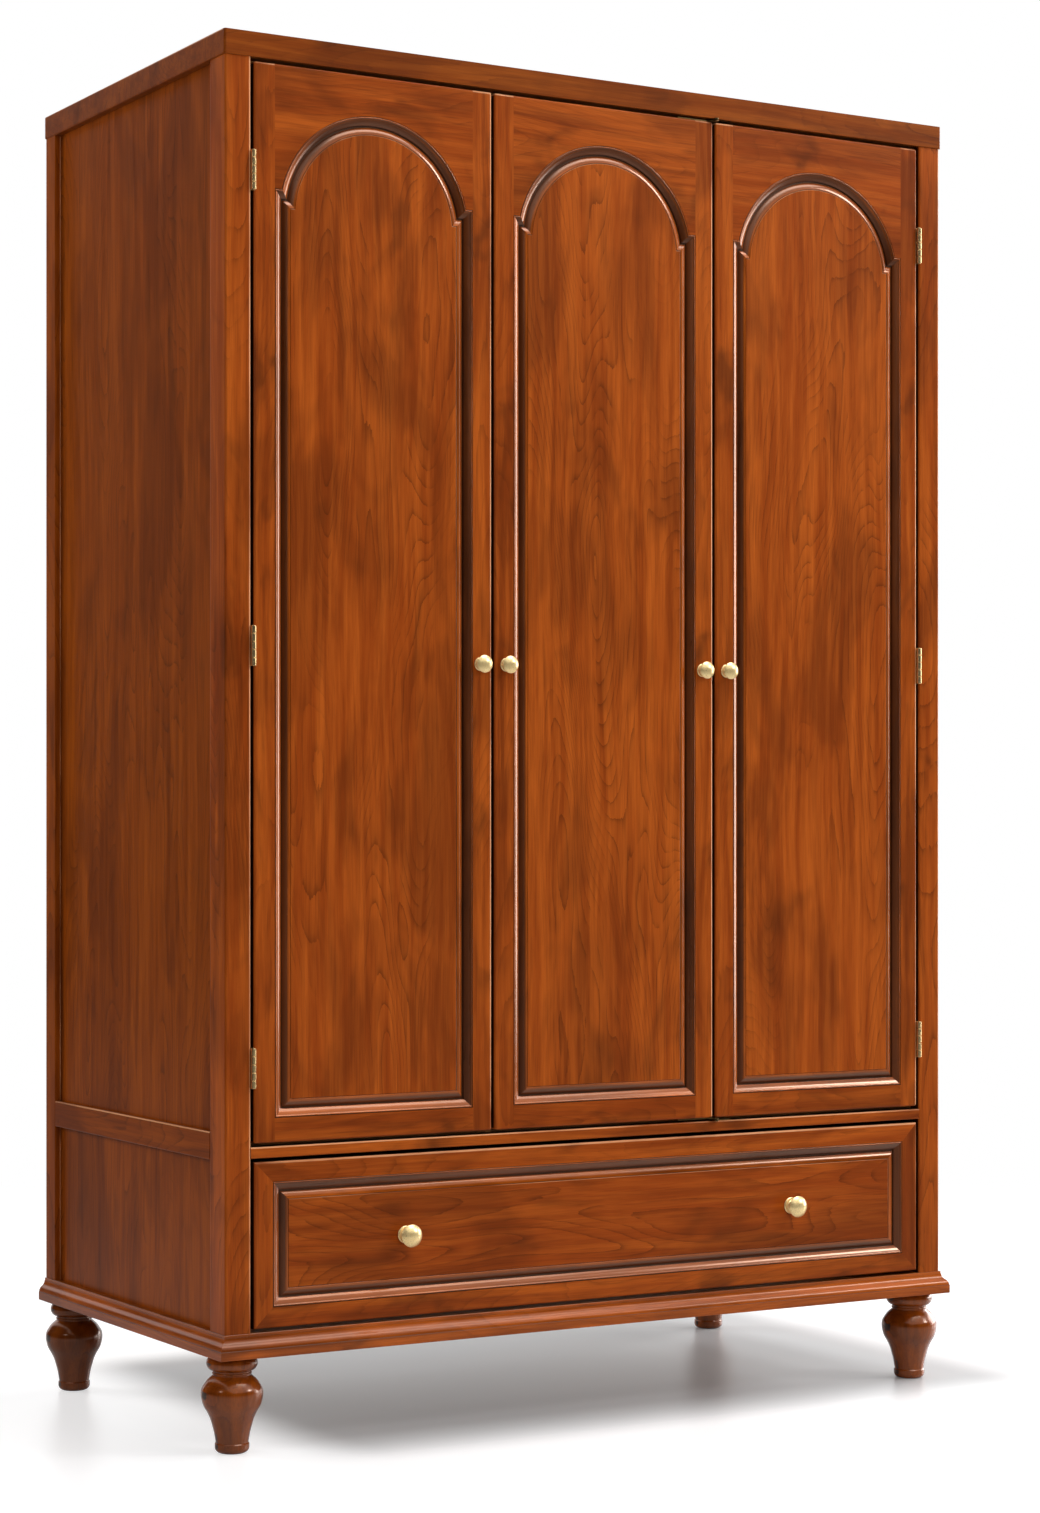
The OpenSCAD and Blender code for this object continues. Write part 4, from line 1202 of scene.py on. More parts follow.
    @staticmethod
    def offset_strips(bm: bmesh.types.BMesh, name: str) -> None:
        """Gives each swept strip its own place in the wood.

        Args:
            bm: The mesh.
            name: The piece's name, which sets the random offsets.
        """
        draw = random.Random(zlib.crc32(name.encode()))
        board = bm.verts.layers.float_vector.get("board")
        tone = bm.verts.layers.float.new("tone")
        for group in islands(bm):
            shift, level = draw_wood(draw)
            for v in {v for f in group for v in f.verts}:
                v[board] = v[board] + shift
                v[tone] = level

    def paint(self, node: str, slot: str) -> None:
        """Gives a CAD node that stays as it is its finish.

        Args:
            node: The CAD node.
            slot: The record's material slot.
        """
        mesh = NODES[node].data
        mesh.materials.clear()
        mesh.materials.append(self.palette.of(slot))


# Mouldings


@dataclass(frozen=True)
class StripSection:
    """The panel moulding's section, in millimetres from its outer edge and from its back."""

    play: float = 0.1
    notch: float = 0.5
    bead_r: float = 1.2
    height: float = 10.0
    outer_w: float = 9.8
    outer_drop: float = 5.6
    outer_start: float = 15.0
    quirk_w: float = 2.2
    quirk_y: float = 1.8
    quirk_step: float = 0.4
    inner_w: float = 11.2
    inner_rise: float = 5.2
    crest: float = 0.35
    painted_shade_rise: float = 1.8

    def glaze(self, x: float, y: float) -> float:
        """How much painted shade lies: it fills the notch, the quirk and the foot of each round.

        Args:
            x: How far in from the outer edge, in millimetres.
            y: How high above the moulding's back, in millimetres.

        Returns:
            The share, from 0 to 1.
        """
        inner_edge = self.notch + 1.6 * self.bead_r + self.outer_w + self.quirk_w + self.inner_w
        if x < self.notch + 0.15:
            return 1.0
        if x > inner_edge - 0.1:
            return 0.5
        return share(1 - (y - self.quirk_y - self.quirk_step) / self.painted_shade_rise)

    def points(self) -> list[Point]:
        """The section's outline.

        Returns:
            Its points, in millimetres.
        """
        x0 = self.notch + 1.6 * self.bead_r
        top = self.height - 0.75 * self.bead_r
        x1 = x0 + self.outer_w
        x2 = x1 + self.quirk_w
        x3 = x2 + self.inner_w
        crown = self.quirk_y + self.quirk_step + self.inner_rise
        bead = arc((self.notch + self.bead_r, self.height - self.bead_r), self.bead_r, 180, 18, 9)
        outer = quarter_fall(x0, top, self.outer_w, self.outer_drop, self.outer_start, 12)
        fall = quarter_fall(x0, crown, self.inner_w, self.inner_rise, 0.0, 12)
        inner = [(x3 - (x - x0), y) for x, y in reversed(fall) if x3 - (x - x0) < x3 - self.crest]
        return [(self.play, 0.0), (self.play, self.quirk_y), (self.notch, self.quirk_y), *bead,
                *[p for p in outer if p[0] > x0 + 0.5], (x1, self.quirk_y), (x2, self.quirk_y), *inner,
                (x3 - self.crest, crown), (x3, crown - self.crest), (x3, 0.0)]


@dataclass
class Opening:
    """An opening in a frame, measured from its upright middle line."""

    middle_x: float

    def place(self, p: Point, y: float) -> Vector:
        """Puts a point of the outline into the wardrobe at a depth."""
        return Vector((self.middle_x + p[0], y, p[1]))


@dataclass
class ArchedOutline(Opening):
    """The opening of a door's frame: straight sides, small shoulders and an arch."""

    sill_z: float
    crown_z: float
    shoulder_z: float
    half: float
    step: float = 11 * MM
    arch_steps: int = 96

    @property
    def chord(self) -> float:
        """Half the arch's width at its shoulders."""
        return self.half - self.step

    @property
    def radius(self) -> float:
        """The arch's radius at the opening's edge."""
        rise = self.crown_z - self.shoulder_z
        return (self.chord ** 2 + rise ** 2) / (2 * rise)

    @property
    def centre_z(self) -> float:
        """The height of the arch's centre."""
        return self.crown_z - self.radius

    def arch(self, inset: float) -> list[Point]:
        """The arch from its left foot to its right foot, drawn inward.

        Args:
            inset: How far inward it is drawn.

        Returns:
            Its points, measured from the middle of the door.
        """
        r = self.radius - inset
        foot = self.shoulder_z - inset - self.centre_z
        low = math.degrees(math.asin(foot / r))
        return [(-x, self.centre_z + z) for x, z in arc((0, 0), r, low, 180 - low, self.arch_steps)]

    def outline(self, inset: float) -> list[Point]:
        """The whole opening, drawn inward.

        Args:
            inset: How far inward it is drawn.

        Returns:
            Its points, anticlockwise from its bottom left corner.
        """
        a = self.half - inset
        top = self.shoulder_z - inset
        return [(-a, self.sill_z + inset), (a, self.sill_z + inset), (a, top),
                *reversed(self.arch(inset)), (-a, top)]


@dataclass
class BoxOutline(Opening):
    """The opening of the drawer front's frame."""

    low_z: float
    high_z: float
    half: float

    def outline(self, inset: float) -> list[Point]:
        """The opening, drawn inward.

        Args:
            inset: How far inward it is drawn.

        Returns:
            Its points, anticlockwise from its bottom left corner.
        """
        a = self.half - inset
        return [(-a, self.low_z + inset), (a, self.low_z + inset), (a, self.high_z - inset),
                (-a, self.high_z - inset)]


def strip_solids(tree: SectionTree, shape: ArchedOutline | BoxOutline, section: list[Point], back_y: float,
                 width: float, material: bpy.types.Material) -> list[bpy.types.Mesh]:
    """Makes a mitred moulding round an opening, one strip for each side.

    Args:
        tree: The section tree.
        shape: The opening.
        section: The moulding's section.
        back_y: The depth of the moulding's back.
        width: How far the inner edge lies from the outer one, in metres.
        material: The finish.

    Returns:
        A mesh for each strip.
    """
    outer = [shape.place(p, back_y) for p in shape.outline(0)]
    inner = [shape.place(p, back_y) for p in shape.outline(width)]
    pairs = list(zip(outer, inner))
    stretches = [pairs[0:2], pairs[1:3], pairs[2:4]]
    if isinstance(shape, ArchedOutline):
        first, last = 3, 3 + shape.arch_steps
        stretches = [pairs[0:2], pairs[1:3], [pairs[2], pairs[first]], pairs[first:last + 1],
                     [pairs[last], pairs[last + 1]]]
    stretches.append([pairs[-1], pairs[0]])
    return [tree.carry(section, Run.strip(s, FORWARD, width), material) for s in stretches]


def panel_solid(tree: SectionTree, shape: ArchedOutline | BoxOutline, section: list[Point], front_y: float,
                width: float, material: bpy.types.Material) -> bpy.types.Mesh:
    """Makes a raised panel: its edge is swept round the opening and its faces are closed.

    Args:
        tree: The section tree.
        shape: The opening.
        section: The edge, in millimetres from the opening and behind the frame's face.
        front_y: The depth of the frame's face.
        width: How far the inner edge of the moulding lies from the outer one, in metres.
        material: The finish.

    Returns:
        The panel's mesh.
    """
    outer = [shape.place(p, front_y) for p in shape.outline(0)]
    inner = [shape.place(p, front_y) for p in shape.outline(width)]
    run = Run(outer, [(b - a) / width for a, b in zip(outer, inner)], [-FORWARD] * len(outer), True)
    mesh = tree.carry(section, run, material, solid=False)
    bm = bmesh.new()
    bm.from_mesh(mesh)
    rims = [e for e in bm.edges if e.is_boundary]
    bmesh.ops.holes_fill(bm, edges=rims, sides=0)
    bm.to_mesh(mesh)
    bm.free()
    return mesh


def extruded(points: list[Vector], way: Vector) -> bmesh.types.BMesh:
    """Closes an outline and carries it into a solid.

    Args:
        points: The outline.
        way: Where it is carried, and how far.

    Returns:
        The solid.
    """
    bm = bmesh.new()
    front = bm.faces.new([bm.verts.new(p) for p in points])
    grown = bmesh.ops.extrude_face_region(bm, geom=[front], use_keep_orig=True)
    moved = [g for g in grown["geom"] if isinstance(g, bmesh.types.BMVert)]
    bmesh.ops.translate(bm, verts=moved, vec=way)
    bmesh.ops.recalc_face_normals(bm, faces=bm.faces)
    return bm


def prism(points: list[Vector], depth: float, eased: tuple[float, float] | None) -> bpy.types.Mesh:
    """A board of any outline, with one of its front edges eased.

    Args:
        points: The outline of its front face.
        depth: How thick it is, towards the back.
        eased: The height of the front edge that is eased and how much, in millimetres, or None.

    Returns:
        The board's mesh.
    """
    bm = extruded(points, Vector((0, depth, 0)))
    if eased is not None:
        level, arris = eased
        edges = [e for e in bm.edges if all(abs(v.co.z - level) < NEAR and abs(v.co.y - points[0].y) < NEAR
                                            for v in e.verts)]
        ease_edges(bm, edges, arris)
    return mesh_of(bm, "prism")


def slab(points: list[Point], low: float, high: float, ease: float) -> bpy.types.Mesh:
    """A flat solid of any outline with its upper edges eased, all in millimetres.

    Args:
        points: The outline.
        low: The height of its underside.
        high: The height of its top.
        ease: How wide the eased edges are.

    Returns:
        The solid's mesh.
    """
    bm = extruded([Vector((x * MM, y * MM, low * MM)) for x, y in points], Vector((0, 0, (high - low) * MM)))
    level = high * MM - WELD
    edges = [e for e in bm.edges if all(v.co.z > level for v in e.verts)]
    ease_edges(bm, edges, ease, 2, True)
    return mesh_of(bm, "slab")


def facing(side: int) -> Matrix:
    """How a flat piece leans so that its top looks along x: 1 for the right and -1 for the left."""
    return Matrix(((0, 0, side), (1, 0, 0), (0, side, 0)))


# Sub-assemblies


@dataclass
class Carcase:
    """Posts, top, sides, back and the boards that hold them together."""

    joiner: Joiner
    eased: float = 2.0
    post_eased: float = 3.2
    inner_eased: float = 0.8

    def build(self) -> None:
        """Dresses every board of the carcase."""
        dress = self.joiner.dress
        dress("top_board", "cherry_top", Grain.ACROSS, self.eased)
        # The posts' inner sides and the waist rail's upper and lower sides look into gaps and get painted
        # shade.
        for side, inward in (("left", "+x"), ("right", "-x")):
            dress(f"post_front_{side}", "cherry_post", Grain.UP, self.post_eased, along=True, gaps=(inward,))
            dress(f"post_back_{side}", "cherry_side", Grain.UP, self.eased, along=True)
            dress(f"side_rail_{side}", "cherry_side", Grain.DEEP, self.eased, along=True)
            dress(f"side_panels_{side}", "cherry_side", Grain.UP, 0.0)
        dress("waist_rail", "cherry_frame", Grain.ACROSS, self.eased, along=True, gaps=("-z", "+z"))
        dress("base_frame", "cherry_side", Grain.ACROSS, self.inner_eased)
        dress("back_frame", "inner_wood", Grain.FRAME, 0.0)
        dress("back_panels", "inner_wood", Grain.UP, 0.0)


@dataclass
class Interior:
    """Shelves, battens, rail, runners and catches inside the carcase."""

    joiner: Joiner
    eased: float = 0.8

    def build(self) -> None:
        """Dresses every inner board and fitting."""
        dress = self.joiner.dress
        for node, grain in (("floor_board", Grain.ACROSS), ("divider", Grain.UP),
                            ("door_stops", Grain.ACROSS), ("hat_shelf", Grain.ACROSS),
                            ("shelf_bearers", Grain.DEEP), ("bay_shelves", Grain.ACROSS),
                            ("drawer_runners", Grain.DEEP)):
            dress(node, "inner_wood", grain, self.eased)
        dress("door_catches", "catch_plastic", Grain.ACROSS, self.eased)
        for node, slot in (("hanging_rail", "rail_steel"), ("rail_sockets", "rail_steel"),
                           ("pivot_plates", "pivot_brass")):
            self.joiner.paint(node, slot)


@dataclass
class Hinge:
    """One butt hinge, as its CAD leaf shows it: where its axis stands and which way its plate lies."""

    axis: Vector
    radius: float
    tall: float
    side: int


@dataclass
class Fittings:
    """The turned and stamped brass fittings: butt hinges with screws, and shelf pins."""

    joiner: Joiner
    repeat: RepeatTree
    knuckles: int = 5
    knuckle_gap: float = 0.8
    pin_r: float = 1.6
    leaf_t: float = 1.6
    gap: float = 5.0
    leaf_near: float = 4.2
    leaf_far: float = 22.1
    ease: float = 0.45
    screw_r: float = 2.7
    slot_w: float = 0.7
    screw_sunk: float = -0.3
    screw_proud: float = 0.35
    slot_floor: float = 0.06
    screw_up: float = 0.34
    screw_near: float = 3.0
    screw_far: float = 3.4
    slot_ease: float = 0.02
    pin_ease: float = 0.12
    tongue_near: float = 0.6
    least_tall: float = 20 * MM
    least_deep: float = 12 * MM
    stamped_ease: float = 0.15
    under: float = 0.02
    pin_steps: int = 28

    @staticmethod
    def boxes(node: str) -> list[tuple[Vector, Vector, float]]:
        """Finds the boxes of a CAD node's separate solids.

        Args:
            node: The CAD node.

        Returns:
            For each solid its lowest and highest corner, and the middle x of its rear half.
        """
        bm = cad_mesh(node)
        found = []
        for group in islands(bm):
            places = [v.co for v in {v for f in group for v in f.verts}]
            low = Vector([min(p[k] for p in places) for k in range(3)])
            high = Vector([max(p[k] for p in places) for k in range(3)])
            rear = [p.x for p in places if p.y > (low.y + high.y) / 2]
            found.append((low.copy(), high.copy(), (min(rear) + max(rear)) / 2))
        bm.free()
        return sorted(found, key=lambda box: tuple(round(c, 5) for c in box[0]))

    def hinges(self, node: str) -> list[Hinge]:
        """Reads the hinges of a CAD node.

        Args:
            node: The CAD node.

        Returns:
            Its hinges.
        """
        found = []
        for low, high, rear in self.boxes(node):
            if high.z - low.z < self.least_tall or high.y - low.y < self.least_deep:
                continue
            radius = (high.x - low.x) / 2
            axis = Vector(((low.x + high.x) / 2, low.y + radius, (low.z + high.z) / 2))
            found.append(Hinge(axis, radius / MM, (high.z - low.z) / MM, 1 if rear > axis.x else -1))
        return found

    def barrel(self, radius: float, tall: float, ease: float) -> bpy.types.Mesh:
        """Turns a barrel with eased ends round its own middle.

        Args:
            radius: Its radius, in millimetres.
            tall: Its height, in millimetres.
            ease: How wide its eased ends are.

        Returns:
            The barrel's mesh.
        """
        half = tall / 2
        section = [(0.0, -half), *arc((radius - ease, ease - half), ease, -90, 0, 4),
                   *arc((radius - ease, half - ease), ease, 0, 90, 4), (0.0, half)]
        return self.joiner.tree.carry(section, Run.turned(ORIGIN, UPWARD, self.pin_steps),
                                      self.joiner.palette.of("hinge_brass"), solid=False)

    def screw(self) -> bpy.types.Mesh:
        """Makes a slotted screw head that lies just proud of its plate.

        Returns:
            The head's mesh, which lies flat.
        """
        lean = math.degrees(math.asin(self.slot_w / 2 / self.screw_r))
        right = arc((0, 0), self.screw_r, lean - 90, 90 - lean, 14)
        left = [(-x, y) for x, y in reversed(right)]
        end = self.screw_r - 0.2
        floor = [(-0.5, -end), (0.5, -end), (0.5, end), (-0.5, end)]
        halves = [slab(half, self.screw_sunk, self.screw_proud, self.stamped_ease) for half in (right, left)]
        base = slab(floor, self.screw_sunk, self.slot_floor, self.slot_ease)
        return joined([*halves, base], "screw")

    def plate(self, hinge: Hinge, first: int) -> bpy.types.Mesh:
        """Cuts a hinge leaf with a tongue for each of its knuckles.

        Args:
            hinge: The hinge.
            first: The number of the leaf's lowest knuckle.

        Returns:
            The plate's mesh, which lies flat.
        """
        pitch = hinge.tall / self.knuckles
        half = hinge.tall / 2
        line = [(self.leaf_far, -half), (self.leaf_far, half), (self.leaf_near, half)]
        for i in reversed(range(first, self.knuckles, 2)):
            low = i * pitch - half + self.knuckle_gap / 2
            high = (i + 1) * pitch - half - self.knuckle_gap / 2
            line.extend([(self.leaf_near, high), (self.tongue_near, high), (self.tongue_near, low),
                         (self.leaf_near, low)])
        line.append((self.leaf_near, -half))
        tidy = [p for k, p in enumerate(line) if math.dist(p, line[k - 1]) > 0.2]
        return slab(tidy, self.gap / -2, self.leaf_t - self.gap / 2, self.stamped_ease)

    def make(self, node: str, first: int, pinned: bool) -> None:
        """Makes the hinge leaves of one CAD node.

        Args:
            node: The CAD node.
            first: The number of a leaf's lowest knuckle.
            pinned: Whether the leaf carries the pin.
        """
        brass = self.joiner.palette.of("hinge_brass")
        hinges = self.hinges(node)
        sample = hinges[0]
        pitch = sample.tall / self.knuckles
        upright = Matrix.Identity(3)
        middles = [((i + 0.5) * pitch - sample.tall / 2) * MM for i in range(first, self.knuckles, 2)]
        rows = [(h.axis + Vector((0, 0, z)), upright) for h in hinges for z in middles]
        knuckle = self.barrel(sample.radius - self.under, pitch - self.knuckle_gap, self.ease)
        solids = [self.repeat.repeat(knuckle, rows, brass)]
        leaves = [(h.axis, facing(-h.side)) for h in hinges]
        solids.append(self.repeat.repeat(self.plate(sample, first), leaves, brass))
        face = (self.gap / 2 - self.leaf_t) * MM
        middle = (self.leaf_near + self.leaf_far) / 2
        up = self.screw_up * sample.tall
        near, far = middle - self.screw_near, middle + self.screw_far
        spots = [(near, -up), (far, 0.0), (near, up)]
        screws = [(h.axis + Vector((h.side * face, y * MM, z * MM)), facing(-h.side))
                  for h in hinges for y, z in spots]
        solids.append(self.repeat.repeat(self.screw(), screws, brass, math.pi / 2))
        if pinned:
            pins = [(h.axis, upright) for h in hinges]
            pin = self.barrel(self.pin_r, sample.tall, self.pin_ease)
            solids.append(self.repeat.repeat(pin, pins, brass))
        self.joiner.shape(f"{node}_stamped", solids, "hinge_brass", node, Grain.UP, METAL_ANGLE)

    def shelf_pins(self) -> None:
        """Turns the shelf pins, each with a collar at the wood."""
        boxes = self.boxes("shelf_pins")
        low, high, _ = boxes[0]
        radius, half = (high.z - low.z) / 2 / MM, (high.x - low.x) / 2 / MM
        middle = sum(low.x + high.x for low, high, _ in boxes) / len(boxes) / 2
        r = radius - self.under
        section = [(0.0, -half), (r - 0.9, -half), (r - 0.4, 0.6 - half), (r - 0.4, -0.9), (r - 0.1, -0.8),
                   *arc((r - 0.4, 0.0), 0.4, -50, 50, 4), (r - 0.3, 0.8), (r - 0.3, half - 0.8),
                   *arc((r - 1.1, half - 0.8), 0.8, 10, 90, 4), (0.0, half)]
        brass = self.joiner.palette.of("knob_brass")
        run = Run.turned(ORIGIN, UPWARD, self.pin_steps)
        piece = self.joiner.tree.carry(section, run, brass, solid=False)
        spots = [((low + high) / 2, facing(1 if low.x < middle else -1)) for low, high, _ in boxes]
        self.joiner.shape("shelf_pins_turned", [self.repeat.repeat(piece, spots, brass)], "knob_brass",
                          "shelf_pins", Grain.UP, METAL_ANGLE)

    def build(self) -> None:
        """Makes the hinges and the shelf pins."""
        self.make("post_hinge_leaves", 0, True)
        self.make("left_door_leaves", 1, False)
        self.make("right_door_leaves", 1, False)
        self.shelf_pins()


@dataclass
class Framed:
    """What a door and the drawer's front share: a raised panel and the moulding round it."""

    joiner: Joiner
    moulding_w: float = 26 * MM
    moulding_t: float = 10 * MM
    play: float = 0.1 * MM
    field_in: float = 2.5
    tongue_w: float = 10.0
    tongue_t: float = 6.0
    groove_play: float = 0.6
    arris: float = 0.8
    eased: float = 3.2
    # Strength of the painted shade on the panel's wall under the moulding, of the painted highlight on its
    # arris, and of the painted shade on moulding slopes that look left or down.
    wall_shade: float = 0.5
    arris_highlight: float = 0.7
    slope_shade: float = 0.78

    @property
    def panel_edge(self) -> float:
        """How far in from the opening the panel's own edge lies, in millimetres."""
        return self.moulding_w / MM - self.tongue_w + self.groove_play

    def raised_panel(self, name: str, node: str, shape: ArchedOutline | BoxOutline, back: list[Point],
                     front_y: float, grain: Grain) -> None:
        """Makes the raised panel.

        Args:
            name: The piece's name.
            node: The CAD node that it stands for.
            shape: The opening.
            back: The last points of its section, behind the moulding.
            front_y: The depth of the frame's face.
            grain: The way that the fibres run.
        """
        w, ledge = self.moulding_w / MM, self.moulding_t / MM
        turn = (w + self.arris, self.field_in + self.arris)
        section = [(turn[0], self.field_in), *arc(turn, self.arris, 270, 180, 4)[1:], (w, ledge),
                   (self.panel_edge, ledge), *back]
        mesh = panel_solid(self.joiner.tree, shape, section, front_y, self.moulding_w,
                           self.joiner.palette.of("cherry_panel"))
        # Painted shade on the panel's wall under the moulding, and a pale painted highlight on its arris
        # where it looks up or right.
        self.joiner.shape(name, [mesh], "cherry_panel", node, grain,
                          painted_shade_rule=lambda x, y: self.wall_shade * float(x < w + 0.05 and y < ledge + 0.3),
                          painted_highlight=lambda x, y: self.arris_highlight * float(w + 0.05 < x < w + self.arris - 0.05))

    def panel_moulding(self, name: str, node: str, shape: ArchedOutline | BoxOutline,
                       front_y: float) -> None:
        """Makes the moulding round the panel.

        Args:
            name: The piece's name.
            node: The CAD node that it stands for.
            shape: The opening.
            front_y: The depth of the frame's face.
        """
        strips = strip_solids(self.joiner.tree, shape, StripSection().points(), front_y + self.moulding_t,
                              self.moulding_w, self.joiner.palette.of("cherry_moulding"))
        # Painted shade in the moulding's notch and quirk and on slopes that look left or down.
        self.joiner.shape(name, strips, "cherry_moulding", node, None, painted_shade_rule=StripSection().glaze,
                          shaded=self.slope_shade)


@dataclass
class Door(Framed):
    """One door: its frame, raised panel, moulding and pivots."""

    side: str = "left"
    rebate: float = 16 * MM

    def node(self, part: str) -> str:
        """The name of one of the door's CAD nodes."""
        return f"{self.side}_door_{part}"

    def outline(self) -> ArchedOutline:
        """Reads the opening's outline from the moulding's and the top rail's boxes.

        Returns:
            The outline.
        """
        low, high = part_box(self.node("moulding"))
        rail_low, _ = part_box(self.node("top_rail"))
        return ArchedOutline((low.x + high.x) / 2, low.z - self.play, high.z + self.play,
                             rail_low.z + self.moulding_w, (high.x - low.x) / 2 + self.play)

    def top_rail(self, shape: ArchedOutline, front_y: float) -> None:
        """Makes the arched top rail in three layers, each with the arch of its depth.

        Args:
            shape: The opening.
            front_y: The depth of the door's face.
        """
        low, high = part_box(self.node("top_rail"))
        depths = [(0.0, self.moulding_t, 0.0),
                  (self.moulding_t, self.rebate, self.moulding_w - self.tongue_w * MM),
                  (self.rebate, high.y - low.y, self.moulding_w)]
        solids = []
        for near, far, inset in depths:
            half = shape.half - inset
            foot = shape.shoulder_z - inset
            line = [(-half, foot), *shape.arch(inset), (half, foot), (half, high.z), (-half, high.z)]
            solids.append(prism([shape.place(p, front_y + near) for p in line], far - near,
                                (high.z, self.eased) if near == 0 else None))
        self.joiner.shape(f"{self.side}_door_arched_rail", solids, "cherry_frame", self.node("top_rail"),
                          Grain.ACROSS)

    def build(self) -> None:
        """Makes every piece of the door."""
        shape = self.outline()
        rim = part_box(self.node("stiles"))
        front_y = rim[0].y
        # Every side of the stiles and the bottom rail that looks into a gap gets painted shade.
        sides = ("-x", "+x", "-z", "+z")
        for part, grain in (("stiles", Grain.UP), ("bottom_rail", Grain.ACROSS)):
            self.joiner.dress(self.node(part), "cherry_frame", grain, self.eased, rim=rim, gaps=sides)
        self.top_rail(shape, front_y)
        self.raised_panel(f"{self.side}_door_raised_panel", self.node("panel"), shape,
                          [(self.panel_edge, self.rebate / MM)], front_y, Grain.UP)
        self.panel_moulding(f"{self.side}_door_arched_moulding", self.node("moulding"), shape, front_y)
        if self.side == "middle":
            self.joiner.paint(self.node("pivots"), "pivot_brass")


@dataclass
class Drawer(Framed):
    """The drawer: its moulded front and the box behind it."""

    box_eased: float = 0.8

    def frame(self, low: Vector, high: Vector) -> None:
        """Makes the four mitred boards of the drawer's front frame.

        Args:
            low: The frame's lowest corner.
            high: The frame's highest corner.
        """
        strip_low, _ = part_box("drawer_front_moulding")
        flat = (strip_low.z - self.play - low.z) / MM
        deep = (high.y - low.y) / MM
        w, t, e = self.moulding_w / MM, self.moulding_t / MM, self.eased
        groove_x, groove_y = flat + w - self.tongue_w, deep - t - self.tongue_t
        section = [(0.0, 0.0), (flat + w, 0.0), (flat + w, groove_y), (groove_x, groove_y),
                   (groove_x, deep - t), (flat, deep - t), (flat, deep),
                   *arc((e, deep - e), e, 90, 180, 4)]
        outline = BoxOutline(0.0, low.z, high.z, high.x)
        strips = strip_solids(self.joiner.tree, outline, section, high.y, (flat + w) * MM,
                              self.joiner.palette.of("cherry_frame"))
        # Painted shade on the frame's outer edge and on its inner step to the moulding; a pale painted
        # highlight on the eased arris where it looks up or right.
        self.joiner.shape("drawer_mitred_frame", strips, "cherry_frame", "drawer_front_frame", None,
                          painted_shade_rule=lambda x, y: float(x < 0.2 or flat - 0.2 < x < flat + 0.2),
                          painted_highlight=lambda x, y: float(0.2 < x < e))

    def build(self) -> None:
        """Makes every piece of the drawer."""
        low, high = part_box("drawer_front_frame")
        strip_low, strip_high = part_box("drawer_front_moulding")
        front_y = low.y
        shape = BoxOutline(0.0, strip_low.z - self.play, strip_high.z + self.play, strip_high.x + self.play)
        self.frame(low, high)
        inner, tongue_back = self.moulding_w / MM + 0.2, self.moulding_t / MM + self.tongue_t
        back = [(self.panel_edge, tongue_back), (inner, tongue_back), (inner, (high.y - low.y) / MM)]
        self.raised_panel("drawer_raised_panel", "drawer_front_panel", shape, back, front_y, Grain.ACROSS)
        self.panel_moulding("drawer_moulding", "drawer_front_moulding", shape, front_y)
        self.joiner.dress("drawer_sides", "inner_wood", Grain.DEEP, self.box_eased)
        self.joiner.dress("drawer_ends", "inner_wood", Grain.ACROSS, self.box_eased)
        self.joiner.dress("drawer_bottom", "inner_wood", Grain.ACROSS, 0.0)


@dataclass
class KnobSection:
    """A knob's turned section, in millimetres from its axis and from the wood."""

    radius: float
    out: float

    def points(self) -> list[Point]:
        """The section's line from the axis at the wood to the axis at the front.

        Returns:
            Its points, in millimetres.
        """
        r, out = self.radius, self.out
        rim_z, neck = 0.70 * out, 0.36 * r
        back = 0.78 * r
        dome_h = out - rim_z - 1.0
        dome_r = ((r - 0.4) ** 2 + dome_h ** 2) / (2 * dome_h)
        dome_a = math.degrees(math.asin((r - 0.4) / dome_r))
        waist = flowing([(back - 1.2, 2.6), (neck + 1.8, 3.4), (neck, 0.38 * out), (neck + 1.0, 0.52 * out),
                         (0.62 * r, 0.60 * out), (r - 0.9, rim_z - 0.6)], 5)
        return [(0.0, 0.0), (back - 0.5, 0.0), *arc((back - 0.8, 0.8), 0.8, -60, 60, 5), (back - 1.1, 2.2),
                *waist, *arc((r - 0.6, rim_z + 0.2), 0.6, -60, 40, 5),
                *arc((0, out - dome_r), dome_r, 90 - dome_a, 90, 14)]


@dataclass
class Knobs:
    """The turned brass knobs of the doors and the drawer."""

    joiner: Joiner
    steps: int = 56

    def make(self, node: str, radius: float, seat_y: float) -> None:
        """Makes the knobs that stand for one CAD node.

        Args:
            node: The CAD node.
            radius: A knob's radius, in metres.
            seat_y: The depth of the face that the knobs stand on.
        """
        low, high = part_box(node)
        centres = [(low.x + high.x) / 2]
        if high.x - low.x > 3 * radius:
            centres = [low.x + radius, high.x - radius]
        out = seat_y - low.y
        section = KnobSection(radius / MM, out / MM).points()
        material = self.joiner.palette.of("knob_brass")
        middle_z = (low.z + high.z) / 2
        runs = [Run.turned(Vector((x, seat_y, middle_z)), FORWARD, self.steps) for x in centres]
        solids = [self.joiner.tree.carry(section, run, material, solid=False) for run in runs]
        self.joiner.shape(f"{node}_turned", solids, "knob_brass", node, Grain.UP, METAL_ANGLE)

    def build(self) -> None:
        """Makes all six knobs."""
        face_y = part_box("left_door_stiles")[0].y
        for node in ("left_door_knob", "middle_door_knobs", "right_door_knob"):
            low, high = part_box(node)
            self.make(node, (high.z - low.z) / 2, face_y)
        low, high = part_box("drawer_knobs")
        self.make("drawer_knobs", (high.z - low.z) / 2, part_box("drawer_front_panel")[0].y)


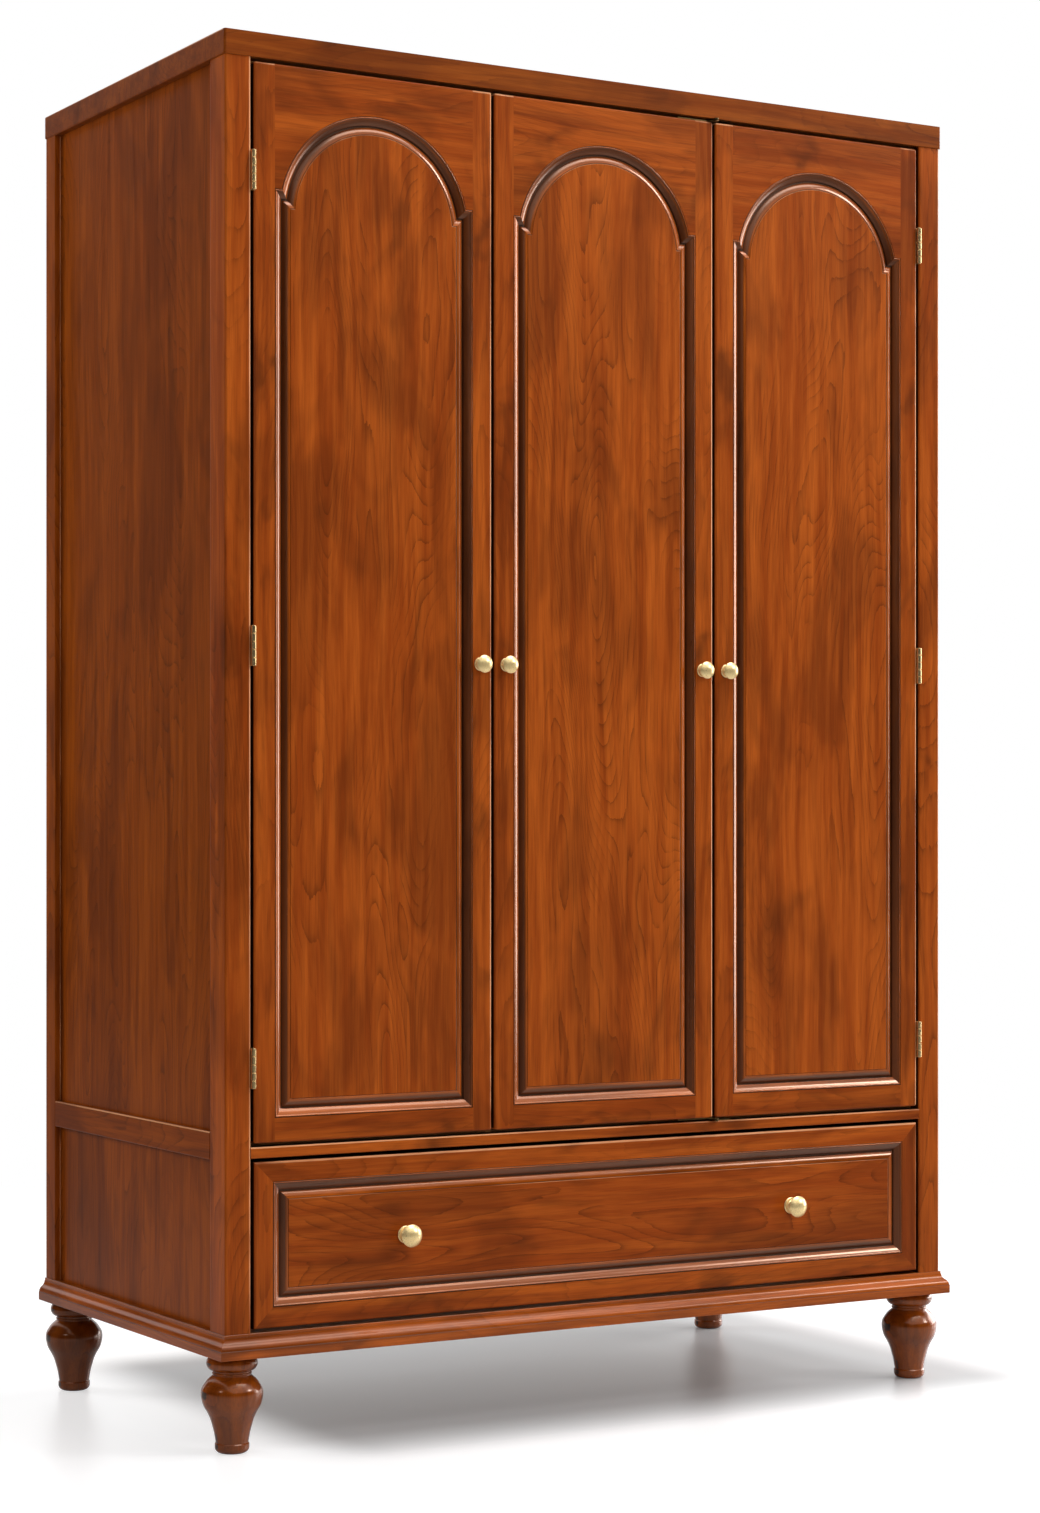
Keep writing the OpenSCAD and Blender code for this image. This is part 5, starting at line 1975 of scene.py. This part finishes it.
@dataclass
class Base:
    """The base moulding and the four turned feet."""

    joiner: Joiner
    foot_h: float = 138.0
    ring_h: float = 14.5
    ring_r: float = 24.5
    neck_r: float = 27.0
    collar_r: float = 36.5
    band_h: float = 13.0
    fillet_h: float = 4.0
    fillet_out: float = 1.6
    steps: int = 72

    def foot_section(self, belly_r: float) -> list[Point]:
        """A foot's turned section: ring, vase, beaded neck and collar.

        Args:
            belly_r: The foot's largest radius, in millimetres.

        Returns:
            The section's points, from the axis at the floor to the axis at the top.
        """
        neck_z, bead_z, collar_z = 0.79 * self.foot_h, 0.815 * self.foot_h, 0.84 * self.foot_h
        vase_z = self.ring_h + 1
        tall = neck_z - vase_z
        bend = (self.foot_h - collar_z) / 2
        ring = [(0.0, 0.0), (self.ring_r - 6.5, 0.0), *arc((self.ring_r - 8, 8), 8, -70, 0, 10),
                (self.ring_r, self.ring_h - 1.4), (self.ring_r - 1.2, self.ring_h)]
        shares = [(0.53, 0.0), (0.58, 0.14), (0.64, 0.25), (0.71, 0.36), (0.80, 0.45), (0.90, 0.53),
                  (0.96, 0.605), (1.0, 0.71), (0.98, 0.80), (0.90, 0.87), (0.79, 0.94)]
        vase = flowing([*[(r * belly_r, vase_z + z * tall) for r, z in shares],
                        (self.neck_r + 1.2, vase_z + tall)], 4)
        neck = [(self.neck_r, neck_z + 1), *arc((self.neck_r - 0.6, bead_z), 1.8, -70, 70, 10),
                (self.neck_r, bead_z + 2.2), (self.neck_r, collar_z)]
        collar = [*arc((self.collar_r - bend, collar_z + bend), bend, -80, 50, 16),
                  (self.collar_r - 4, self.foot_h), (0.0, self.foot_h)]
        return [*ring, *vase, *neck, *collar]

    def feet(self) -> None:
        """Turns the four feet."""
        material = self.joiner.palette.of("cherry_foot")
        for node in ("foot_front_left", "foot_front_right", "foot_back_left", "foot_back_right"):
            low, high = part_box(node)
            centre = Vector(((low.x + high.x) / 2, (low.y + high.y) / 2, 0))
            section = self.foot_section((high.x - low.x) / 2 / MM)
            run = Run.turned(centre, UPWARD, self.steps)
            mesh = self.joiner.tree.carry(section, run, material, solid=False)
            self.joiner.shape(f"{node}_turned", [mesh], "cherry_foot", node, Grain.UP)

    def moulding_section(self, out: float, tall: float) -> list[Point]:
        """The base moulding's section: band, wave and fillet.

        Args:
            out: How far it stands out past the posts, in millimetres.
            tall: Its height, in millimetres.

        Returns:
            The section's points.
        """
        step, ease = 0.7, 0.8
        wave_x = self.fillet_out + step
        wave_h = tall - self.band_h - self.fillet_h
        wave_w = out - wave_x - step
        top = tall - self.fillet_h
        r = ((wave_h / 2) ** 2 + (wave_w / 2) ** 2) / wave_w
        lean = math.degrees(math.asin(wave_h / 2 / r))
        round_part = arc((wave_x + wave_w - r, self.band_h), r, 0, lean, 8)
        hollow = arc((wave_x + r, top), r, 180 + lean, 180, 8)
        return [(0.0, 0.0), (out - ease, 0.0), *arc((out - ease, ease), ease, -60, 0, 3),
                (out, self.band_h - 0.5), (out - 0.4, self.band_h), *round_part, *hollow[1:],
                (self.fillet_out, top), (self.fillet_out, tall - 0.4), (self.fillet_out - 0.4, tall),
                (0.0, tall)]

    def moulding(self) -> None:
        """Makes the base moulding, mitred at the two front corners."""
        low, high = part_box("base_moulding")
        post_low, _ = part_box("post_front_left")
        _, post_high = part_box("post_front_right")
        out = high.x - post_high.x
        section = self.moulding_section(out / MM, (high.z - low.z) / MM)
        inner, outer = ([Vector((x, y, low.z)) for x, y in ((left, high.y), (left, near), (right, near),
                                                            (right, high.y))]
                        for left, right, near in ((post_low.x, post_high.x, post_low.y),
                                                  (low.x, high.x, low.y)))
        pairs = list(zip(inner, outer))
        material = self.joiner.palette.of("cherry_base")
        solids = [self.joiner.tree.carry(section, Run.strip(pairs[i:i + 2], UPWARD, out), material)
                  for i in range(3)]
        tall = (high.z - low.z) / MM
        # Painted shade at the band's top step, under the fillet and along the top face.
        self.joiner.shape("base_moulding_mitred", solids, "cherry_base", "base_moulding", None,
                          painted_shade_rule=lambda x, y: float(abs(y - self.band_h) < 0.4 or abs(y - tall) < 0.1
                                                    or abs(y - tall + self.fillet_h) < 0.1))

    def build(self) -> None:
        """Makes the moulding and the feet."""
        self.feet()
        self.moulding()


# Studio


@dataclass(frozen=True)
class Lamp:
    """One soft studio lamp."""

    name: str
    place: tuple[float, float, float]
    aim: tuple[float, float, float]
    width: float
    height: float
    power: float
    reflected: bool = True

    def build(self) -> None:
        """Hangs the lamp."""
        data = bpy.data.lights.new(self.name, "AREA")
        data.shape = "RECTANGLE"
        data.size, data.size_y, data.energy = self.width, self.height, self.power
        lamp = hang(self.name, data)
        lamp.location = self.place
        lamp.rotation_euler = (Vector(self.aim) - Vector(self.place)).to_track_quat("-Z", "Y").to_euler()
        lamp.visible_glossy = self.reflected


@dataclass(frozen=True)
class Flag:
    """A dark cloth beside the set, which only reflections show."""

    name: str
    corners: tuple[tuple[float, float], tuple[float, float]]
    low: float = 0.02
    high: float = 4.5

    def build(self) -> None:
        """Hangs the cloth."""
        (x0, y0), (x1, y1) = self.corners
        mesh = bpy.data.meshes.new(self.name)
        mesh.from_pydata([(x0, y0, self.low), (x1, y1, self.low), (x1, y1, self.high),
                          (x0, y0, self.high)], [], [(0, 1, 2, 3)])
        material, n = new_material(self.name)
        weave = n.mottle(n.place(), (8.0, 8.0, 8.0), 2.0)
        cloth = n.blend(weave, (0.012, 0.010, 0.009, 1), (0.02, 0.017, 0.015, 1))
        n.surface({"Base Color": cloth, "Roughness": 1.0, "Specular IOR Level": 0.0})
        mesh.materials.append(material)
        flag = hang(self.name, mesh)
        for ray in ("camera", "diffuse", "shadow", "transmission"):
            setattr(flag, f"visible_{ray}", False)


@dataclass
class Studio:
    """The pale floor, the world, the lamps and the camera at the photograph's place."""

    lens: float = 75.65
    camera_place: tuple[float, float, float] = (-2.5305, -4.3535, 0.8946)
    camera_turn: float = -30.5356
    ambient: float = 0.13
    floor_size: float = 40.0
    painted_shadow_centre: tuple[float, float, float] = (0.14, 0.05, 0.0)
    painted_shadow_half: tuple[float, float, float] = (0.54, 0.36, 1.0)
    mirror_share: float = 0.3

    def camera(self) -> None:
        """Places the camera where the photograph was taken."""
        data = bpy.data.cameras.new("camera")
        data.lens = self.lens
        data.sensor_width = 36.0
        data.sensor_fit = "AUTO"
        data.shift_y = (PHOTO_HORIZON_ROW - PHOTO_HEIGHT / 2) / PHOTO_HEIGHT
        cam = hang("camera", data)
        cam.location = self.camera_place
        cam.rotation_euler = (math.radians(90), 0, math.radians(self.camera_turn))
        bpy.context.scene.camera = cam

    def world(self) -> None:
        """Makes a white surround for the camera and for reflections, and a softer one for light."""
        world = bpy.data.worlds.new("studio")
        bpy.context.scene.world = world
        world.use_nodes = True
        world.node_tree.nodes.clear()
        n = Nodes(world.node_tree)
        path = n.add("ShaderNodeLightPath")
        seen = n.math("MAXIMUM", path.outputs["Is Camera Ray"], path.outputs["Is Glossy Ray"])
        seen = n.math("MAXIMUM", seen, path.outputs["Is Transmission Ray"])
        soft = n.add("ShaderNodeBackground", {"Color": (1, 1, 1, 1), "Strength": self.ambient})
        white = n.add("ShaderNodeBackground", {"Color": (1, 1, 1, 1), "Strength": 1.0})
        mixed = n.add("ShaderNodeMixShader", {0: seen, 1: soft.outputs[0], 2: white.outputs[0]})
        n.add("ShaderNodeOutputWorld", {"Surface": mixed.outputs[0]})

    def floor(self) -> None:
        """Lays the pale floor, which fades to white away from the wardrobe, with a painted shadow where its
        camera lift drops round the wardrobe's footprint.
        """
        half = self.floor_size / 2
        mesh = bpy.data.meshes.new("floor")
        mesh.from_pydata([(-half, -half, 0), (half, -half, 0), (half, half, 0), (-half, half, 0)], [],
                         [(0, 1, 2, 3)])
        material, n = new_material("pale_floor")
        place = n.place()
        away = n.add("ShaderNodeVectorMath", {0: place}, operation="LENGTH").outputs["Value"]
        path = n.add("ShaderNodeLightPath")
        mirrored = n.math("MULTIPLY", path.outputs["Is Glossy Ray"], self.mirror_share)
        seen = n.math("MAXIMUM", path.outputs["Is Camera Ray"], path.outputs["Is Glossy Ray"])
        strength = n.math("MAXIMUM", path.outputs["Is Camera Ray"], mirrored)
        cloudy = n.mottle(place, (3.0, 3.0, 3.0), 2.0)
        # Painted shadow: the lift is least inside a box round the footprint and grows over 0.16 m outside
        # it.
        aside = n.vector("ABSOLUTE", n.vector("SUBTRACT", place, self.painted_shadow_centre))
        aside = n.vector("MAXIMUM", n.vector("SUBTRACT", aside, self.painted_shadow_half))
        clear = n.add("ShaderNodeVectorMath", {0: aside}, operation="LENGTH").outputs["Value"]
        lifted = n.math("ADD", n.math("MULTIPLY", n.fade(clear, 0.0, 0.16), 0.52), 0.06)
        pale = n.blend(cloudy, (0.50, 0.50, 0.505, 1), (0.52, 0.52, 0.525, 1))
        lit = n.add("ShaderNodeBsdfPrincipled", {"Base Color": pale, "Roughness": 0.32,
                                                 "Specular IOR Level": 0.35})
        lift = n.add("ShaderNodeEmission", {"Color": (1, 1, 1, 1),
                                            "Strength": n.math("MULTIPLY", strength, lifted)})
        near = n.add("ShaderNodeAddShader", {0: lit.outputs[0], 1: lift.outputs[0]})
        white = n.add("ShaderNodeEmission", {"Color": (1, 1, 1, 1), "Strength": strength})
        faded = n.math("MULTIPLY", n.fade(away, 1.3, 3.0), seen)
        whole = n.add("ShaderNodeMixShader", {0: faded, 1: near.outputs[0], 2: white.outputs[0]})
        n.add("ShaderNodeOutputMaterial", {"Surface": whole.outputs[0]})
        mesh.materials.append(material)
        hang("floor", mesh)

    def build(self) -> None:
        """Sets up the camera, the surround and the lamps."""
        self.camera()
        self.world()
        self.floor()
        lamps = [
            Lamp("key_softbox", (7.4, -6.2, 6.2), (0.0, -0.3, 1.0), 2.1, 2.1, 345),
            Lamp("top_softbox", (1.6, -1.8, 5.6), (1.6, -1.8, 0.0), 3.8, 3.8, 215),
            Lamp("right_softbox", (5.5, 0.5, 1.6), (0.0, 0.5, 1.6), 4.2, 2.8, 285),
            Lamp("left_fill", (-4.0, 4.4, 2.4), (-0.6, 0.0, 1.0), 2.4, 2.4, 170, False),
            Lamp("left_sparkle", (-3.1, -1.0, 1.9), (-0.6, -0.3, 0.3), 0.4, 0.4, 5),
            Lamp("front_fill", (-1.8, -6.8, 3.0), (0.0, 0.0, 1.2), 2.4, 2.4, 95, False),
        ]
        Flag("left_flag", ((-3.4, -9.0), (-3.4, 14.0))).build()
        Flag("front_flag", ((-3.4, -9.0), (4.3, -9.0))).build()
        Flag("right_flag", ((4.3, -9.0), (8.0, -4.2))).build()
        for lamp in lamps:
            lamp.build()
        bpy.context.scene.view_settings.view_transform = "Standard"
        LOG.info("studio: %d lamps", len(lamps))


def main() -> None:
    """Builds the wardrobe's looks in order."""
    logging.basicConfig(level=logging.INFO, format="%(name)s: %(message)s")
    Studio().build()
    joiner = Joiner(Palette(), SectionTree())
    Carcase(joiner).build()
    Interior(joiner).build()
    Base(joiner).build()
    for side in ("left", "middle", "right"):
        Door(joiner, side=side).build()
    Drawer(joiner).build()
    Knobs(joiner).build()
    Fittings(joiner, RepeatTree()).build()


if __name__ == "__main__":
    main()
